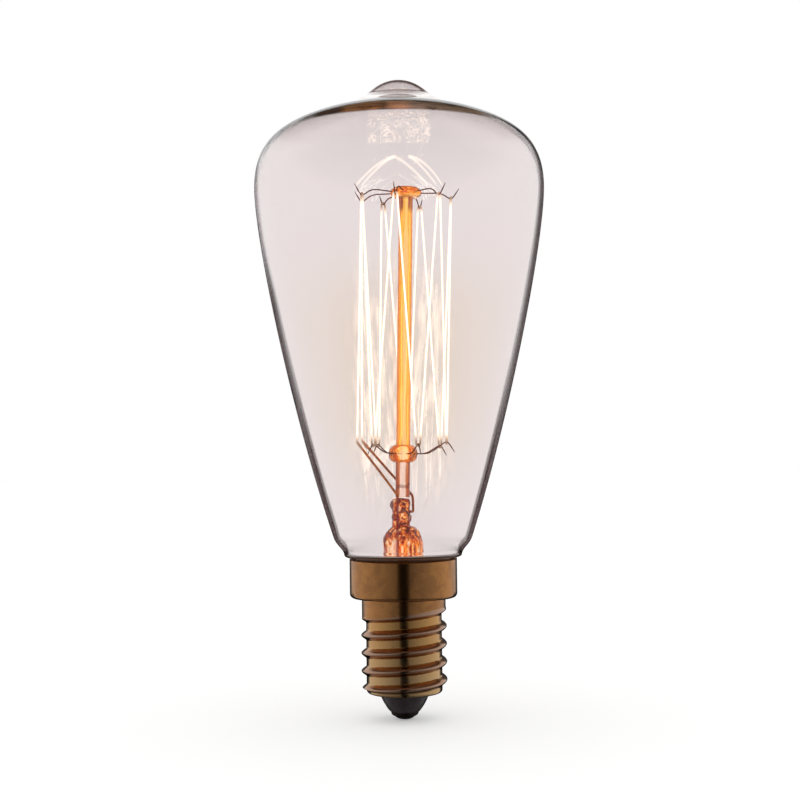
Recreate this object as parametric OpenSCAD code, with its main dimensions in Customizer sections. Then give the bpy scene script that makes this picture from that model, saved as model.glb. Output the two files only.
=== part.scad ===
// Filament lamp with a caged filament, a teardrop bulb and a small screw cap.
// Millimetres. The origin is on the lamp's axis at the lowest point of the
// centre contact, and +Z points along the axis to the tip of the glass.

/* [Glass bulb] */
// Widest outside diameter of the bulb
bulb_d = 46.8; // [43:0.2:50]
// Thickness of the blown glass
bulb_wall = 0.7; // [0.5:0.1:1]
// Height of the widest place above the cap's rim
bulb_rise = 59.5; // [54:0.5:64]
// Height of the crown above the widest place
crown_rise = 14.6; // [13:0.2:17]
// Diameter of the place on the crown where the tip begins
crown_d = 13.2; // [11:0.2:15]
// Height of the moulded tip above the crown
tip_h = 3.3; // [2:0.1:4.5]
// Outside diameter at the foot of the straight cone
cone_d = 22.2; // [21:0.1:24]
// Height of the foot of the cone above the cap's rim
cone_rise = 3.4; // [2.8:0.1:4]
// How much the radius of the cone grows for each millimetre of height
cone_slope = 0.33; // [0.25:0.01:0.4]
// How far the glass shoulder stands out over the cap's rim
shoulder_over = 0.85; // [0.6:0.05:1.4]
// Gap between the glass neck and the inside of the skirt
neck_gap = 0.4; // [0.35:0.05:0.6]
// Length of the neck below the cap's rim
neck_l = 4; // [3:0.1:4.6]
// Gap between the glass shoulder and the cap's rim
rim_gap = 0.3; // [0.25:0.05:0.6]

/* [Cap] */
// Height of the cap from the centre contact to its rim
cap_h = 25.45; // [24:0.05:27]
// Outside diameter of the skirt
skirt_d = 17.2; // [16.8:0.1:17.6]
// Height of the skirt
skirt_h = 6.2; // [5.6:0.1:6.6]
// Rounding at the skirt's lower edge
skirt_round = 0.7; // [0.5:0.1:1]
// Fillet between the skirt and the plain band
band_fillet = 0.15; // [0.1:0.05:0.3]
// Thickness of the brass sheet
sheet = 0.3; // [0.2:0.05:0.35]
// Outside diameter of the plain band between skirt and thread
band_d = 13.4; // [13:0.1:13.6]
// Height of the plain band
band_h = 1.4; // [1:0.1:2]
// Outside diameter over the thread's crests
thread_d = 13.7; // [13.6:0.05:13.85]
// Outside diameter at the thread's roots
root_d = 12.1; // [11.8:0.1:12.29]
// Pitch of the thread
thread_pitch = 2.822; // [2.7:0.001:3]
// Width of one rounded crest
crest_w = 1.6; // [1.3:0.1:1.9]
// Shape of the crests: 1 is a wave, and less is fuller and steeper
crest_shape = 0.6; // [0.5:0.05:1]
// Height of the turned-in lip that holds the insulator
lip_h = 0.5; // [0.4:0.1:0.7]
// Diameter of the hole that the lip leaves
lip_hole_d = 8; // [7.4:0.1:9]

/* [Contact end] */
// Height of the insulator's cone below the shell
insulator_drop = 3.05; // [2.5:0.05:3.4]
// Height of the insulator inside the shell
insulator_seat = 2.4; // [1.5:0.1:4]
// Gap between the insulator and the shell round it
insulator_gap = 0.05; // [0.05:0.01:0.1]
// Diameter of the wire hole through the insulator
insulator_hole_d = 1.5; // [1.4:0.1:2]
// Diameter of the contact plate
plate_d = 4.4; // [4:0.1:5.6]
// Thickness of the contact plate
plate_t = 0.6; // [0.4:0.05:0.8]
// Bore of the contact plate's eyelet
eyelet_d = 0.9; // [0.8:0.05:1]
// Height of the drop of solder below the contact plate
solder_h = 0.55; // [0.3:0.05:0.8]
// Diameter of the drop of solder
solder_d = 3.2; // [2.6:0.1:3.8]
// Diameter of the drop of solder at the rim of the skirt
side_solder_d = 1.1; // [0.8:0.05:1.4]

/* [Glass stem] */
// Outside diameter of the stem's tube
stem_d = 6.5; // [6:0.1:7]
// Thickness of the stem's glass
stem_wall = 0.7; // [0.5:0.1:0.8]
// How far the stem's rim curves out before it reaches the tube
flare_sweep = 1.2; // [1:0.1:1.6]
// Height over which the tube narrows into the pinch
narrowing_h = 3.6; // [3.2:0.1:4]
// Height of the pinch's lower edge above the cap's rim
stem_rise = 5.2; // [4.5:0.1:6]
// Height of the pinch
pinch_h = 4.6; // [4:0.1:6]
// Width of the pinch across the two lead wires
pinch_w = 3.2; // [2.8:0.1:4]
// How far the hand-made pinch stands to the left of the lamp's axis
pinch_shift = 0.3; // [0:0.05:0.35]
// Thickness of the glass in front of the lead wires in the pinch
pinch_cover = 0.25; // [0.2:0.05:0.5]
// Thickness of the glass that closes the tube below the pinch
pinch_floor_t = 1.9; // [1.6:0.1:2.2]
// Outside diameter of the exhaust tube
exhaust_d = 2.1; // [1.8:0.1:2.2]
// Bore of the exhaust tube
exhaust_bore = 1; // [0.8:0.1:1.2]
// Length of the exhaust tube below the pinch
exhaust_l = 14; // [10:0.5:17]
// How far the exhaust tube stands behind the lamp's axis
exhaust_back = 0.7; // [0.6:0.05:0.8]

/* [Rod and glass buttons] */
// Diameter of the glass rod
rod_d = 2.3; // [1.9:0.1:2.4]
// Lean of the hand-sealed rod towards +X, in degrees
rod_lean = 1.27; // [0:0.01:2]
// Height of the lower button's middle above the pinch
lower_button_rise = 6.95; // [6:0.1:8]
// Distance between the middles of the two buttons
button_pitch = 42.3; // [38:0.1:44]
// Diameter of the upper button
upper_button_d = 5.3; // [4.6:0.1:6]
// Thickness of the upper button
upper_button_t = 1.8; // [1.4:0.1:2.4]
// Diameter of the lower button
lower_button_d = 4.8; // [4.2:0.1:6]
// Thickness of the lower button
lower_button_t = 2.9; // [2.2:0.1:3.4]

/* [Hooks] */
// Diameter of the hooks' wire
hook_d = 0.2; // [0.15:0.01:0.3]
// Depth of each hook's wire inside its glass button
hook_seat = 1; // [0.6:0.1:1.2]
// Length of each hook that runs straight out of its button
hook_stub = 0.6; // [0.4:0.1:1]
// Distance of the upper hooks' loops from the rod's middle
upper_ring_r = 7.45; // [6.5:0.05:8.5]
// Distance of the lower hooks' loops from the rod's middle
lower_ring_r = 7.15; // [6.5:0.05:8.5]
// How far the upper loops hang below the middle of their button
upper_dip = 0.85; // [0.4:0.05:1.4]
// How far the lower loops stand above the middle of their button
lower_arch = 1.8; // [1:0.05:2.4]
// How far each hook's free end reaches past its loop
hook_tail = 1.3; // [0.9:0.05:1.8]
// How far the upper hooks' free ends rise above their loops
upper_tail_rise = 1.7; // [1:0.05:2.4]
// How far the lower hooks' free ends drop below their loops
lower_tail_drop = 1.6; // [1:0.05:2.2]

/* [Filament and lead wires] */
// Diameter of the filament
filament_d = 0.3; // [0.2:0.01:0.4]
// Clearance between the filament and what holds it
filament_gap = 0.06; // [0.05:0.01:0.1]
// Diameter of the lead wires inside the bulb
lead_d = 0.4; // [0.3:0.02:0.5]
// Diameter of the lead wires inside the cap
tail_d = 0.24; // [0.18:0.01:0.26]
// Distance between the two lead wires in the pinch
lead_pitch = 1.6; // [1.4:0.05:1.8]
// Clearance between the lead wires and the rod
rod_gap = 0.1; // [0.05:0.05:0.3]
// How far the rear lead loops out from the side of the pinch
lead_loop = 0.37; // [0.35:0.01:0.6]
// Height at which the rear lead passes behind the rod, above the pinch
lead_pass_h = 1.6; // [1.2:0.1:2.4]
// Height of the lead wires' tips above the lower button's middle
lead_rise = 1.7; // [1:0.05:2.4]
// Length of the fold that grips the filament at each tip
clamp_l = 1.4; // [1:0.1:1.8]

/* [Hidden] */

// Facets of the true curves
$fn = 64;
// Sides of the thin wires
wire_sides = 6;
// Sides of the lead wires
lead_sides = 8;
// Straight pieces in each curve of the bulb's outline
outline_steps = 18;
// Columns round the thread
thread_cols = 30;
// Rows of the thread for each turn
thread_rows = 14;
// Small overlap of a cutter past the face that it cuts
cut = 0.1;
// How far the ends of the threaded sleeve stand inside the rings that they join
seam = 0.02;

// Directions of the hooks' wires round the rod, counter-clockwise from +X
upper_turns = [204, 257, 317, 364, 431, 480, 519];
lower_turns = [230, 289, 347, 393, 445, 487];
// Differences of each hand-bent upper hook: loop further out, loop higher
upper_bends = [
    [0.25, -0.2], [-0.05, -0.85], [-0.3, -0.35], [-0.1, 0.05], [-0.3, -0.4], [0.1, 0.15], [0.25, -0.1]
];
// Differences of each hand-bent lower hook: loop further out, loop higher
lower_bends = [[0.1, -0.45], [0, -0.3], [-0.05, 0.15], [0.1, -0.4], [0, -0.2], [-0.2, -0.3]];
// Directions of the two lead wires' tips
front_lead_turn = 190;
rear_lead_turn = 532;
// Direction in which the thread's first crest comes out of the plain band
thread_start = 180;
// Turn, in degrees, over which the groove under the band runs out
groove_end = 80;

// Heights along the axis, from the contact upwards
plate_z = solder_h;
insulator_z = plate_z + plate_t;
shell_z = insulator_z + insulator_drop;
lip_z = shell_z + lip_h;
skirt_z = cap_h - skirt_h;
thread_top_z = skirt_z - band_h;
neck_z = cap_h - neck_l;
shoulder_z = cap_h + rim_gap;
cone_z = cap_h + cone_rise;
widest_z = cap_h + bulb_rise;
crown_z = widest_z + crown_rise;
pinch_z = cap_h + stem_rise;
rod_z = pinch_z + pinch_h;
lower_button_z = rod_z + lower_button_rise;
upper_button_z = lower_button_z + button_pitch;

// Outside diameter of the glass shoulder that sits over the cap
shoulder_d = skirt_d + 2 * shoulder_over;
// Outside diameter of the neck inside the cap
neck_d = skirt_d - 2 * sheet - 2 * neck_gap;
// How far the lead wires stand in front of the lamp's axis in the pinch
lead_front = sqrt(pow((rod_d + lead_d) / 2 + rod_gap, 2) - pow(lead_pitch / 2, 2));
// Thickness of the pinch, with its wires in front of the rod
pinch_t = 2 * (lead_front + lead_d / 2 + pinch_cover);
// Right side of the pinch, where the rear lead leaves it
pinch_right = pinch_w / 2 - pinch_shift;
// Lower face of the glass that closes the stem's tube
pinch_floor_z = pinch_z - pinch_floor_t;
// Top of the part of the stem's rim that curves out
flare_top_z = cap_h - neck_l * 0.1;
// Drop of the first crest below the plain band, where it starts
first_crest_drop = thread_pitch * 0.6;
// Gap left round the small joints of solder and cement
joint_gap = 0.05;

// Helpers for outlines and wires

// Points of a cubic curve between p0 and p3, drawn towards p1 and p2
function curve(p0, p1, p2, p3, steps) = [
    for (i = [0 : steps])
        let (t = i / steps, u = 1 - t)
            u * u * u * p0 + 3 * u * u * t * p1 + 3 * u * t * t * p2 + t * t * t * p3
];

// Points of a circular arc
function arc(centre, r, from, to, steps) = [
    for (i = [0 : steps])
        let (a = from + (to - from) * i / steps)
            centre + r * [cos(a), sin(a)]
];

// List without its first point
function rest(list) = [for (i = [1 : len(list) - 1]) list[i]];

function unit(v) = v / norm(v);

// An outline moved sideways by w, to its left
function inset(path, w) = [
    for (i = [0 : len(path) - 1])
        let (d = unit(path[min(i + 1, len(path) - 1)] - path[max(i - 1, 0)]))
            path[i] + w * [-d[1], d[0]]
];

// A bent wire's corners cut off twice, which rounds them
function round_once(p) = [
    p[0],
    for (i = [0 : len(p) - 2])
        for (s = i == 0 ? [0.75] : i == len(p) - 2 ? [0.25] : [0.25, 0.75])
            p[i] * (1 - s) + p[i + 1] * s,
    p[len(p) - 1]
];
function round_off(p) = round_once(round_once(p));

// A point of the stem's upright frame moved with the leaning rod
function lean(p) = [
    p[0] * cos(rod_lean) + (p[2] - rod_z) * sin(rod_lean),
    p[1],
    rod_z + (p[2] - rod_z) * cos(rod_lean) - p[0] * sin(rod_lean)
];
function lean_all(list) = [for (p = list) lean(p)];

// A point at a distance from the rod's middle, in a direction and at a height
function polar(r, turn, z) = [r * cos(turn), r * sin(turn), z];

// Tube of diameter d along the points p
module tube(p, d, sides) {
    n = len(p);
    dirs = [for (i = [0 : n - 1]) unit(p[min(i + 1, n - 1)] - p[max(i - 1, 0)])];
    first = unit(cross(dirs[0], abs(dirs[0][2]) < 0.9 ? [0, 0, 1] : [1, 0, 0]));
    sides_at = [
        for (i = 0, s = first; i < n; i = i + 1, s = i < n ? unit(s - (s * dirs[i]) * dirs[i]) : s)
            s
    ];
    rings = [
        for (i = [0 : n - 1])
            for (k = [0 : sides - 1])
                let (a = 360 * k / sides)
                    p[i] + d / 2 * (cos(a) * sides_at[i] + sin(a) * cross(dirs[i], sides_at[i]))
    ];
    walls = [
        for (i = [0 : n - 2])
            for (k = [0 : sides - 1])
                let (
                    a = i * sides + k,
                    b = i * sides + (k + 1) % sides
                )
                    each [[a, a + sides, b], [b, a + sides, b + sides]]
    ];
    ends = [
        for (k = [1 : sides - 2])
            each [[0, k, k + 1], [(n - 1) * sides, (n - 1) * sides + k + 1, (n - 1) * sides + k]]
    ];
    polyhedron(points = rings, faces = concat(walls, ends));
}

// Places children in the leaning rod's frame
module on_rod() {
    translate([0, 0, rod_z]) rotate([0, rod_lean, 0]) translate([0, 0, -rod_z]) children();
}

// Glass bulb

// Outside of the bulb from the cone's foot to the edge of the crown
bulb_side = let (
    foot = [cone_d / 2, cone_z],
    widest = [bulb_d / 2, widest_z],
    crown = [crown_d / 2, crown_z],
    height = widest_z - cone_z
) concat(
    curve(foot, foot + height * 0.35 * [cone_slope, 1], widest - [0, height * 0.145], widest, outline_steps),
    rest(curve(widest, widest + [0, crown_rise * 0.74],
        crown + crown_rise * [0.56, -0.315], crown, outline_steps))
);
// Outside of the tip, from the edge of the crown to the axis
bulb_tip = curve([crown_d / 2, crown_z], [crown_d * 0.4, crown_z + tip_h * 0.1],
    [crown_d * 0.29, crown_z + tip_h], [0, crown_z + tip_h], 8);

// How far the glass curves between the shoulder and the cone
function cone_blend(z) = (cone_z - z) * 0.45;

module glass_bulb() {
    shoulder_round = rim_gap * 1.5;
    round_z = shoulder_z + shoulder_round;
    outside = concat(
        [[neck_d / 2, neck_z], [neck_d / 2, shoulder_z]],
        arc([shoulder_d / 2 - shoulder_round, round_z], shoulder_round, -90, 0, 4),
        rest(curve([shoulder_d / 2, round_z], [shoulder_d / 2 + 0.1, round_z + cone_blend(round_z) * 0.7],
            bulb_side[0] - cone_blend(round_z) * [cone_slope, 1], bulb_side[0], 5)),
        rest(bulb_side),
        rest(bulb_tip)
    );
    inside_top = inset(concat(bulb_side, rest(bulb_tip)), bulb_wall);
    neck_r = neck_d / 2 - bulb_wall;
    ledge_r = shoulder_d / 2 - bulb_wall;
    ledge_z = shoulder_z + bulb_wall;
    inner_z = ledge_z + shoulder_round;
    inside = concat(
        [[neck_r, neck_z], [neck_r, ledge_z]],
        arc([ledge_r - shoulder_round, inner_z], shoulder_round, -90, 0, 4),
        rest(curve([ledge_r, inner_z], [ledge_r + 0.1, inner_z + cone_blend(inner_z) * 0.7],
            inside_top[0] - cone_blend(inner_z) * [cone_slope, 1], inside_top[0], 5)),
        rest([for (p = inside_top) [max(p[0], 0), p[1]]])
    );
    color([0.9, 0.87, 0.86, 0.3]) rotate_extrude()
        polygon(concat(outside, [for (i = [len(inside) - 1 : -1 : 0]) inside[i]]));
}

// Glass stem

// The round tube and its wide rim, which is sealed to the neck of the bulb
module stem_funnel() {
    rim_r = neck_d / 2;
    tube_r = stem_d / 2;
    bore_r = tube_r - stem_wall;
    floor_r = exhaust_back + exhaust_d / 2 + joint_gap;
    outside = concat(
        [[rim_r, neck_z - stem_wall], [rim_r, neck_z]],
        curve([rim_r - bulb_wall, neck_z], [tube_r + flare_sweep, neck_z],
            [tube_r, flare_top_z - flare_sweep], [tube_r, flare_top_z], 7),
        curve([tube_r, pinch_z - narrowing_h], [tube_r, pinch_z - narrowing_h * 0.45],
            [pinch_w / 2 + tube_r * 0.25, pinch_z], [pinch_w / 2 - cut, pinch_z], 6)
    );
    inside = concat(
        [[rim_r - stem_wall, neck_z - stem_wall]],
        curve([rim_r - bulb_wall - stem_wall, neck_z - stem_wall], [bore_r + flare_sweep, neck_z - stem_wall],
            [bore_r, flare_top_z - flare_sweep - stem_wall], [bore_r, flare_top_z], 7),
        [[bore_r, pinch_z - narrowing_h], [floor_r, pinch_floor_z], [0, pinch_floor_z]]
    );
    rotate_extrude()
        polygon(concat(outside, [[0, pinch_z]], [for (i = [len(inside) - 1 : -1 : 0]) inside[i]]));
}

// Way of a seal wire through the pinch: the left one leaves on top, the right one at the side.
// The wires end flush with the glass, and the bores run past it at both ends.
module seal_wire_way(side, past = 0) {
    x = side * lead_pitch / 2;
    top = side < 0 ? rod_z + past : pinch_z + pinch_h / 2;
    translate([x, -lead_front, pinch_floor_z - past]) cylinder(d = lead_d, h = top - pinch_floor_z + past);
    if (side > 0) {
        translate([x, -lead_front, top]) sphere(d = lead_d);
        translate([x, -lead_front, top]) rotate([0, 90, 0])
            cylinder(d = lead_d, h = pinch_right - x + past);
    }
}

// The way for the gas: up from the exhaust tube, then out of the pinch's back
module exhaust_way() {
    hole_z = pinch_z + exhaust_bore / 2;
    translate([0, exhaust_back, pinch_floor_z - cut])
        cylinder(d = exhaust_bore, h = hole_z - pinch_floor_z + cut);
    translate([0, exhaust_back, hole_z]) sphere(d = exhaust_bore);
    translate([0, exhaust_back, hole_z]) rotate([-90, 0, 0]) cylinder(d = exhaust_bore, h = stem_d);
}

module stem_flare() {
    color([0.95, 0.6, 0.35, 0.6]) difference() {
        union() {
            stem_funnel();
            translate([-pinch_shift, 0, pinch_z - stem_wall])
                linear_extrude(pinch_h + stem_wall) intersection() {
                    square([pinch_w, pinch_t], center = true);
                    circle(d = norm([pinch_w, pinch_t]) - pinch_cover);
                }
        }
        seal_wire_way(-1, cut);
        seal_wire_way(1, cut);
        exhaust_way();
    }
}

module exhaust_tube() {
    color([0.95, 0.75, 0.6, 0.6]) translate([0, exhaust_back, pinch_floor_z]) mirror([0, 0, 1]) difference() {
        union() {
            cylinder(d = exhaust_d, h = exhaust_l - exhaust_d / 2);
            translate([0, 0, exhaust_l - exhaust_d / 2]) sphere(d = exhaust_d);
        }
        translate([0, 0, -cut]) cylinder(d = exhaust_bore, h = exhaust_l - exhaust_d + cut);
    }
}

// Rod and buttons

module centre_rod() {
    color([1, 0.7, 0.3, 0.7]) difference() {
        on_rod() translate([0, 0, rod_z - rod_d]) cylinder(d = rod_d, h = upper_button_z - rod_z + rod_d);
        translate([-rod_d, -rod_d, rod_z - 2 * rod_d]) cube(2 * rod_d);
    }
}

// Flattened round bead of glass about its own middle
module bead(d, t) {
    edge = t * 0.29;
    rotate_extrude() polygon(concat(
        [[0, -t / 2]],
        curve([d * 0.27, -t / 2], [d * 0.39, -t / 2], [d / 2, -edge], [d / 2, 0], 6),
        rest(curve([d / 2, 0], [d / 2, edge], [d * 0.39, t / 2], [d * 0.27, t / 2], 6)),
        [[0, t / 2]]
    ));
}

// Sockets of the hooks' wires in a button
module hook_sockets(turns, d) {
    for (turn = turns) rotate([0, 90, turn])
        translate([0, 0, d / 2 - hook_seat]) cylinder(d = hook_d, h = hook_seat + cut);
}

module upper_button() {
    color([1, 0.35, 0.1]) on_rod() translate([0, 0, upper_button_z]) difference() {
        bead(upper_button_d, upper_button_t);
        translate([0, 0, -upper_button_t]) cylinder(d = rod_d, h = upper_button_t);
        hook_sockets(upper_turns, upper_button_d);
    }
}

module lower_button() {
    color([1, 0.6, 0.25]) on_rod() translate([0, 0, lower_button_z]) difference() {
        bead(lower_button_d, lower_button_t);
        translate([0, 0, -lower_button_t]) cylinder(d = rod_d, h = 2 * lower_button_t);
        hook_sockets(lower_turns, lower_button_d);
    }
}

// Hooks

// Middle of the wire at the loop of upper hook i, and of lower hook i
function upper_loop(i) = polar(
    upper_ring_r + upper_bends[i][0], upper_turns[i], upper_button_z - upper_dip + upper_bends[i][1]);
function lower_loop(i) = polar(
    lower_ring_r + lower_bends[i][0], lower_turns[i], lower_button_z + lower_arch + lower_bends[i][1]);

// Wire that leaves a button, bends at its loop and ends free
module hook(turn, button_d, button_z, loop, tail_rise) {
    r = norm([loop[0], loop[1]]);
    z = loop[2];
    knee = button_d / 2 + (r - button_d / 2) * (tail_rise > 0 ? 0.66 : 0.45);
    side = [
        [button_d / 2 - hook_seat, button_z],
        [button_d / 2 + hook_stub, button_z],
        [knee, button_z + hook_d / 2],
        [r - hook_tail * 0.2, z],
        [r + hook_tail * 0.2, z],
        [r + hook_tail, z + tail_rise]
    ];
    color([0.3, 0.25, 0.22])
        tube(lean_all([for (p = round_off(side)) polar(p[0], turn, p[1])]), hook_d, wire_sides);
}

module upper_hook(i) {
    hook(upper_turns[i], upper_button_d, upper_button_z, upper_loop(i), upper_tail_rise);
}

module lower_hook(i) {
    hook(lower_turns[i], lower_button_d, lower_button_z, lower_loop(i), -lower_tail_drop);
}

// Filament and lead wires

// Radius of the filament's turn round a hook's wire
turn_r = hook_d / 2 + filament_gap + filament_d / 2;

// Half turn of the filament round a hook: over an upper one, under a lower one
function half_turn(loop, turn, up) = [
    for (a = [0 : 30 : 180])
        loop + turn_r * (-cos(a) * [-sin(turn), cos(turn), 0] + up * sin(a) * [0, 0, 1])
];

// Tips of the lead wires, which hold the filament's ends
front_tip = polar(lower_ring_r + 0.3, front_lead_turn, lower_button_z + lead_rise);
rear_tip = polar(lower_ring_r - 0.55, rear_lead_turn, lower_button_z + lead_rise + 0.2);

// Place where each lead wire leaves the pinch
front_root = [-lead_pitch / 2, -lead_front, rod_z];
rear_root = [pinch_right, -lead_front, pinch_z + pinch_h / 2];

// The filament's end lies beside the lead's tip and follows it down
function beside(tip, root, side) = let (
    down = unit(root - tip),
    off = side * unit(cross(down, [0, 0, 1])) * (lead_d + filament_d + filament_gap) / 2
) [tip + off + down * clamp_l, tip + off];

module filament() {
    last = len(lower_turns) - 1;
    path = concat(
        beside(front_tip, front_root, 1),
        [for (i = [0 : last]) each concat(
            half_turn(upper_loop(i), upper_turns[i], 1),
            half_turn(lower_loop(i), lower_turns[i], -1)
        )],
        half_turn(upper_loop(last + 1), upper_turns[last + 1], 1),
        [for (i = [1 : -1 : 0]) beside(rear_tip, rear_root, 1)[i]]
    );
    color([1, 0.95, 0.8]) tube(lean_all(path), filament_d, wire_sides);
}

// The lead's tip is folded back beside itself to grip the filament
function folded(tip, root) = let (
    down = unit(root - tip),
    off = -unit(cross(down, [0, 0, 1])) * lead_d * 0.9
) [tip, tip + off + lead_d / 4 * down, tip + off + clamp_l * down];

module front_lead() {
    path = concat(
        [front_root, front_root + [0, 0, lead_d]],
        lean_all(folded(front_tip, front_root))
    );
    color([0.75, 0.4, 0.2]) tube(round_off(path), lead_d, lead_sides);
}

module rear_lead() {
    behind = (rod_d + lead_d) / 2 + rod_gap * 3;
    pass = [0, behind, rod_z + lead_pass_h];
    path = concat(
        [
            rear_root,
            rear_root + [lead_d / 2, 0, 0],
            rear_root + [lead_loop, 0, lead_d / 4],
            rear_root + [lead_loop, lead_front * 0.6, lead_d * 2],
            [pinch_right + lead_loop, lead_front / 2, rod_z],
            [pinch_right, behind - lead_d, rod_z + lead_pass_h * 0.4],
            pass
        ],
        lean_all(folded(rear_tip, pass))
    );
    color([0.75, 0.4, 0.2]) tube(round_off(path), lead_d, lead_sides);
}

module front_seal_wire() {
    color([0.6, 0.1, 0.1]) seal_wire_way(-1);
}

module rear_seal_wire() {
    color([0.6, 0.1, 0.1]) seal_wire_way(1);
}

// Wires in the cap

// Distance of the side wire from the axis where it rises between neck and skirt
side_way_r = (neck_d / 2 + skirt_d / 2 - sheet) / 2;
// Height of the side wire's end, in its solder
side_wire_top_z = cap_h - side_solder_d / 4;

module centre_tail_wire() {
    start = [-lead_pitch / 2, -lead_front, pinch_floor_z];
    seat_top_z = lip_z + insulator_seat;
    path = [
        start,
        start - [0, 0, (start[2] - seat_top_z) * 0.2],
        [-lead_pitch / 4, -lead_front, seat_top_z + (start[2] - seat_top_z) * 0.3],
        [0, 0, seat_top_z + insulator_hole_d],
        [0, 0, seat_top_z],
        [0, 0, plate_z]
    ];
    color([0.8, 0.5, 0.3]) tube(round_off(path), tail_d, lead_sides);
}

module side_tail_wire() {
    start = [lead_pitch / 2, -lead_front, pinch_floor_z];
    low_z = neck_z - stem_wall - tail_d * 2;
    bore_x = stem_d / 2 - stem_wall - tail_d * 2;
    path = [
        start,
        start - [0, 0, (start[2] - low_z) * 0.4],
        [bore_x, 0, neck_z],
        [bore_x, tail_d, low_z],
        [stem_d / 4, side_way_r / 2, low_z],
        [0, side_way_r - tail_d, low_z],
        [0, side_way_r, low_z + tail_d],
        [0, side_way_r, side_wire_top_z]
    ];
    color([0.8, 0.5, 0.3]) tube(round_once(path), tail_d, lead_sides);
}

module side_solder() {
    color([0.75, 0.75, 0.76]) difference() {
        intersection() {
            translate([0, side_way_r, cap_h]) sphere(d = side_solder_d);
            cylinder(d = skirt_d, h = shoulder_z - joint_gap);
        }
        cylinder(d = neck_d, h = shoulder_z);
        difference() {
            cylinder(d = skirt_d + 2 * cut, h = cap_h);
            cylinder(d = skirt_d - 2 * sheet, h = cap_h);
        }
        translate([0, side_way_r, 0]) cylinder(d = tail_d, h = side_wire_top_z);
    }
}

module basing_cement() {
    color([0.8, 0.75, 0.65]) translate([0, 0, neck_z]) difference() {
        cylinder(d = skirt_d - 2 * sheet, h = neck_l - side_solder_d / 2 - joint_gap);
        translate([0, 0, -cut]) cylinder(d = neck_d, h = neck_l + cut);
        translate([0, side_way_r, -cut]) cylinder(d = tail_d, h = neck_l + cut);
    }
}

// Cap

// Height of the thread's surface over its roots, from 0 to 1
function crest(turn, z) = let (
    turns_up = (z - thread_top_z + first_crest_drop) / thread_pitch - (turn - thread_start) / 360,
    away = abs(turns_up - round(turns_up)) * thread_pitch
) away < crest_w / 2 ? pow((1 + cos(360 * away / crest_w)) / 2, crest_shape) : 0;

// A value that grows smoothly from 0 to 1 between a and b
function ease(v, a, b) = let (t = min(max((v - a) / (b - a), 0), 1)) t * t * (3 - 2 * t);

// Lower edge of the plain band: the first crest rises into it over half a turn, and behind that
// the groove under the band runs out
function band_edge(turn) = let (t = (turn - thread_start + 360) % 360)
    thread_top_z - first_crest_drop * (t < 180 ? 1 - t / 180 : ease(t, 360 - groove_end, 360));

// Outside radius of the thread, which runs into the plain band and into the lip
function thread_r(turn, z) = let (
    crest_r = root_d / 2 + (thread_d - root_d) / 2 * crest(turn, z) * ease(z, lip_z, lip_z + lip_h),
    edge_z = band_edge(turn)
) crest_r + (band_d / 2 - crest_r) * ease(z, edge_z - thread_pitch / 4, edge_z);

// Sleeve of sheet metal with the thread rolled into it
module thread_sleeve() {
    rows = ceil((thread_top_z - lip_z) / thread_pitch * thread_rows);
    wall_points = [
        for (inner = [0, 1])
            for (j = [0 : rows])
                for (k = [0 : thread_cols - 1])
                    let (
                        turn = 360 * k / thread_cols,
                        z = lip_z + (thread_top_z - lip_z) * j / rows,
                        inset_r = j == 0 || j == rows ? seam : 0,
                        r = thread_r(turn, z),
                        inner_r = (r - sheet + inset_r) / cos(180 / thread_cols)
                    )
                        polar(inner == 0 ? r - inset_r : inner_r, turn, z)
    ];
    size = (rows + 1) * thread_cols;
    walls = [
        for (inner = [0, 1])
            for (j = [0 : rows - 1])
                for (k = [0 : thread_cols - 1])
                    let (
                        a = inner * size + j * thread_cols + k,
                        b = inner * size + j * thread_cols + (k + 1) % thread_cols,
                        c = a + thread_cols,
                        d = b + thread_cols
                    )
                        each (inner == 0 ? [[a, c, d], [a, d, b]] : [[a, d, c], [a, b, d]])
    ];
    ends = [
        for (k = [0 : thread_cols - 1])
            let (
                a = k,
                b = (k + 1) % thread_cols,
                c = a + rows * thread_cols,
                d = b + rows * thread_cols
            )
                each [[a, b, b + size], [a, b + size, a + size], [c, d + size, d], [c, c + size, d + size]]
    ];
    polyhedron(points = wall_points, faces = concat(walls, ends));
}

module cap_shell() {
    skirt_r = skirt_d / 2;
    band_r = band_d / 2;
    root_r = root_d / 2;
    color([0.65, 0.48, 0.25]) union() {
        rotate_extrude() polygon(concat(
            [[skirt_r, cap_h]],
            arc([skirt_r - skirt_round, skirt_z + skirt_round], skirt_round, 0, -90, 5),
            [[band_r + band_fillet, skirt_z], [band_r, skirt_z - band_fillet], [band_r, thread_top_z]],
            [[band_r - sheet, thread_top_z], [band_r - sheet, skirt_z + sheet]],
            arc([skirt_r - skirt_round, skirt_z + skirt_round], skirt_round - sheet, -90, 0, 5),
            [[skirt_r - sheet, cap_h]]
        ));
        thread_sleeve();
        rotate_extrude() polygon(concat(
            arc([root_r - lip_h, lip_z], lip_h, 0, -90, 5),
            [[lip_hole_d / 2, shell_z], [lip_hole_d / 2, shell_z + sheet]],
            [[root_r - lip_h, shell_z + sheet], [root_r - sheet, lip_z]]
        ));
    }
}

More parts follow.
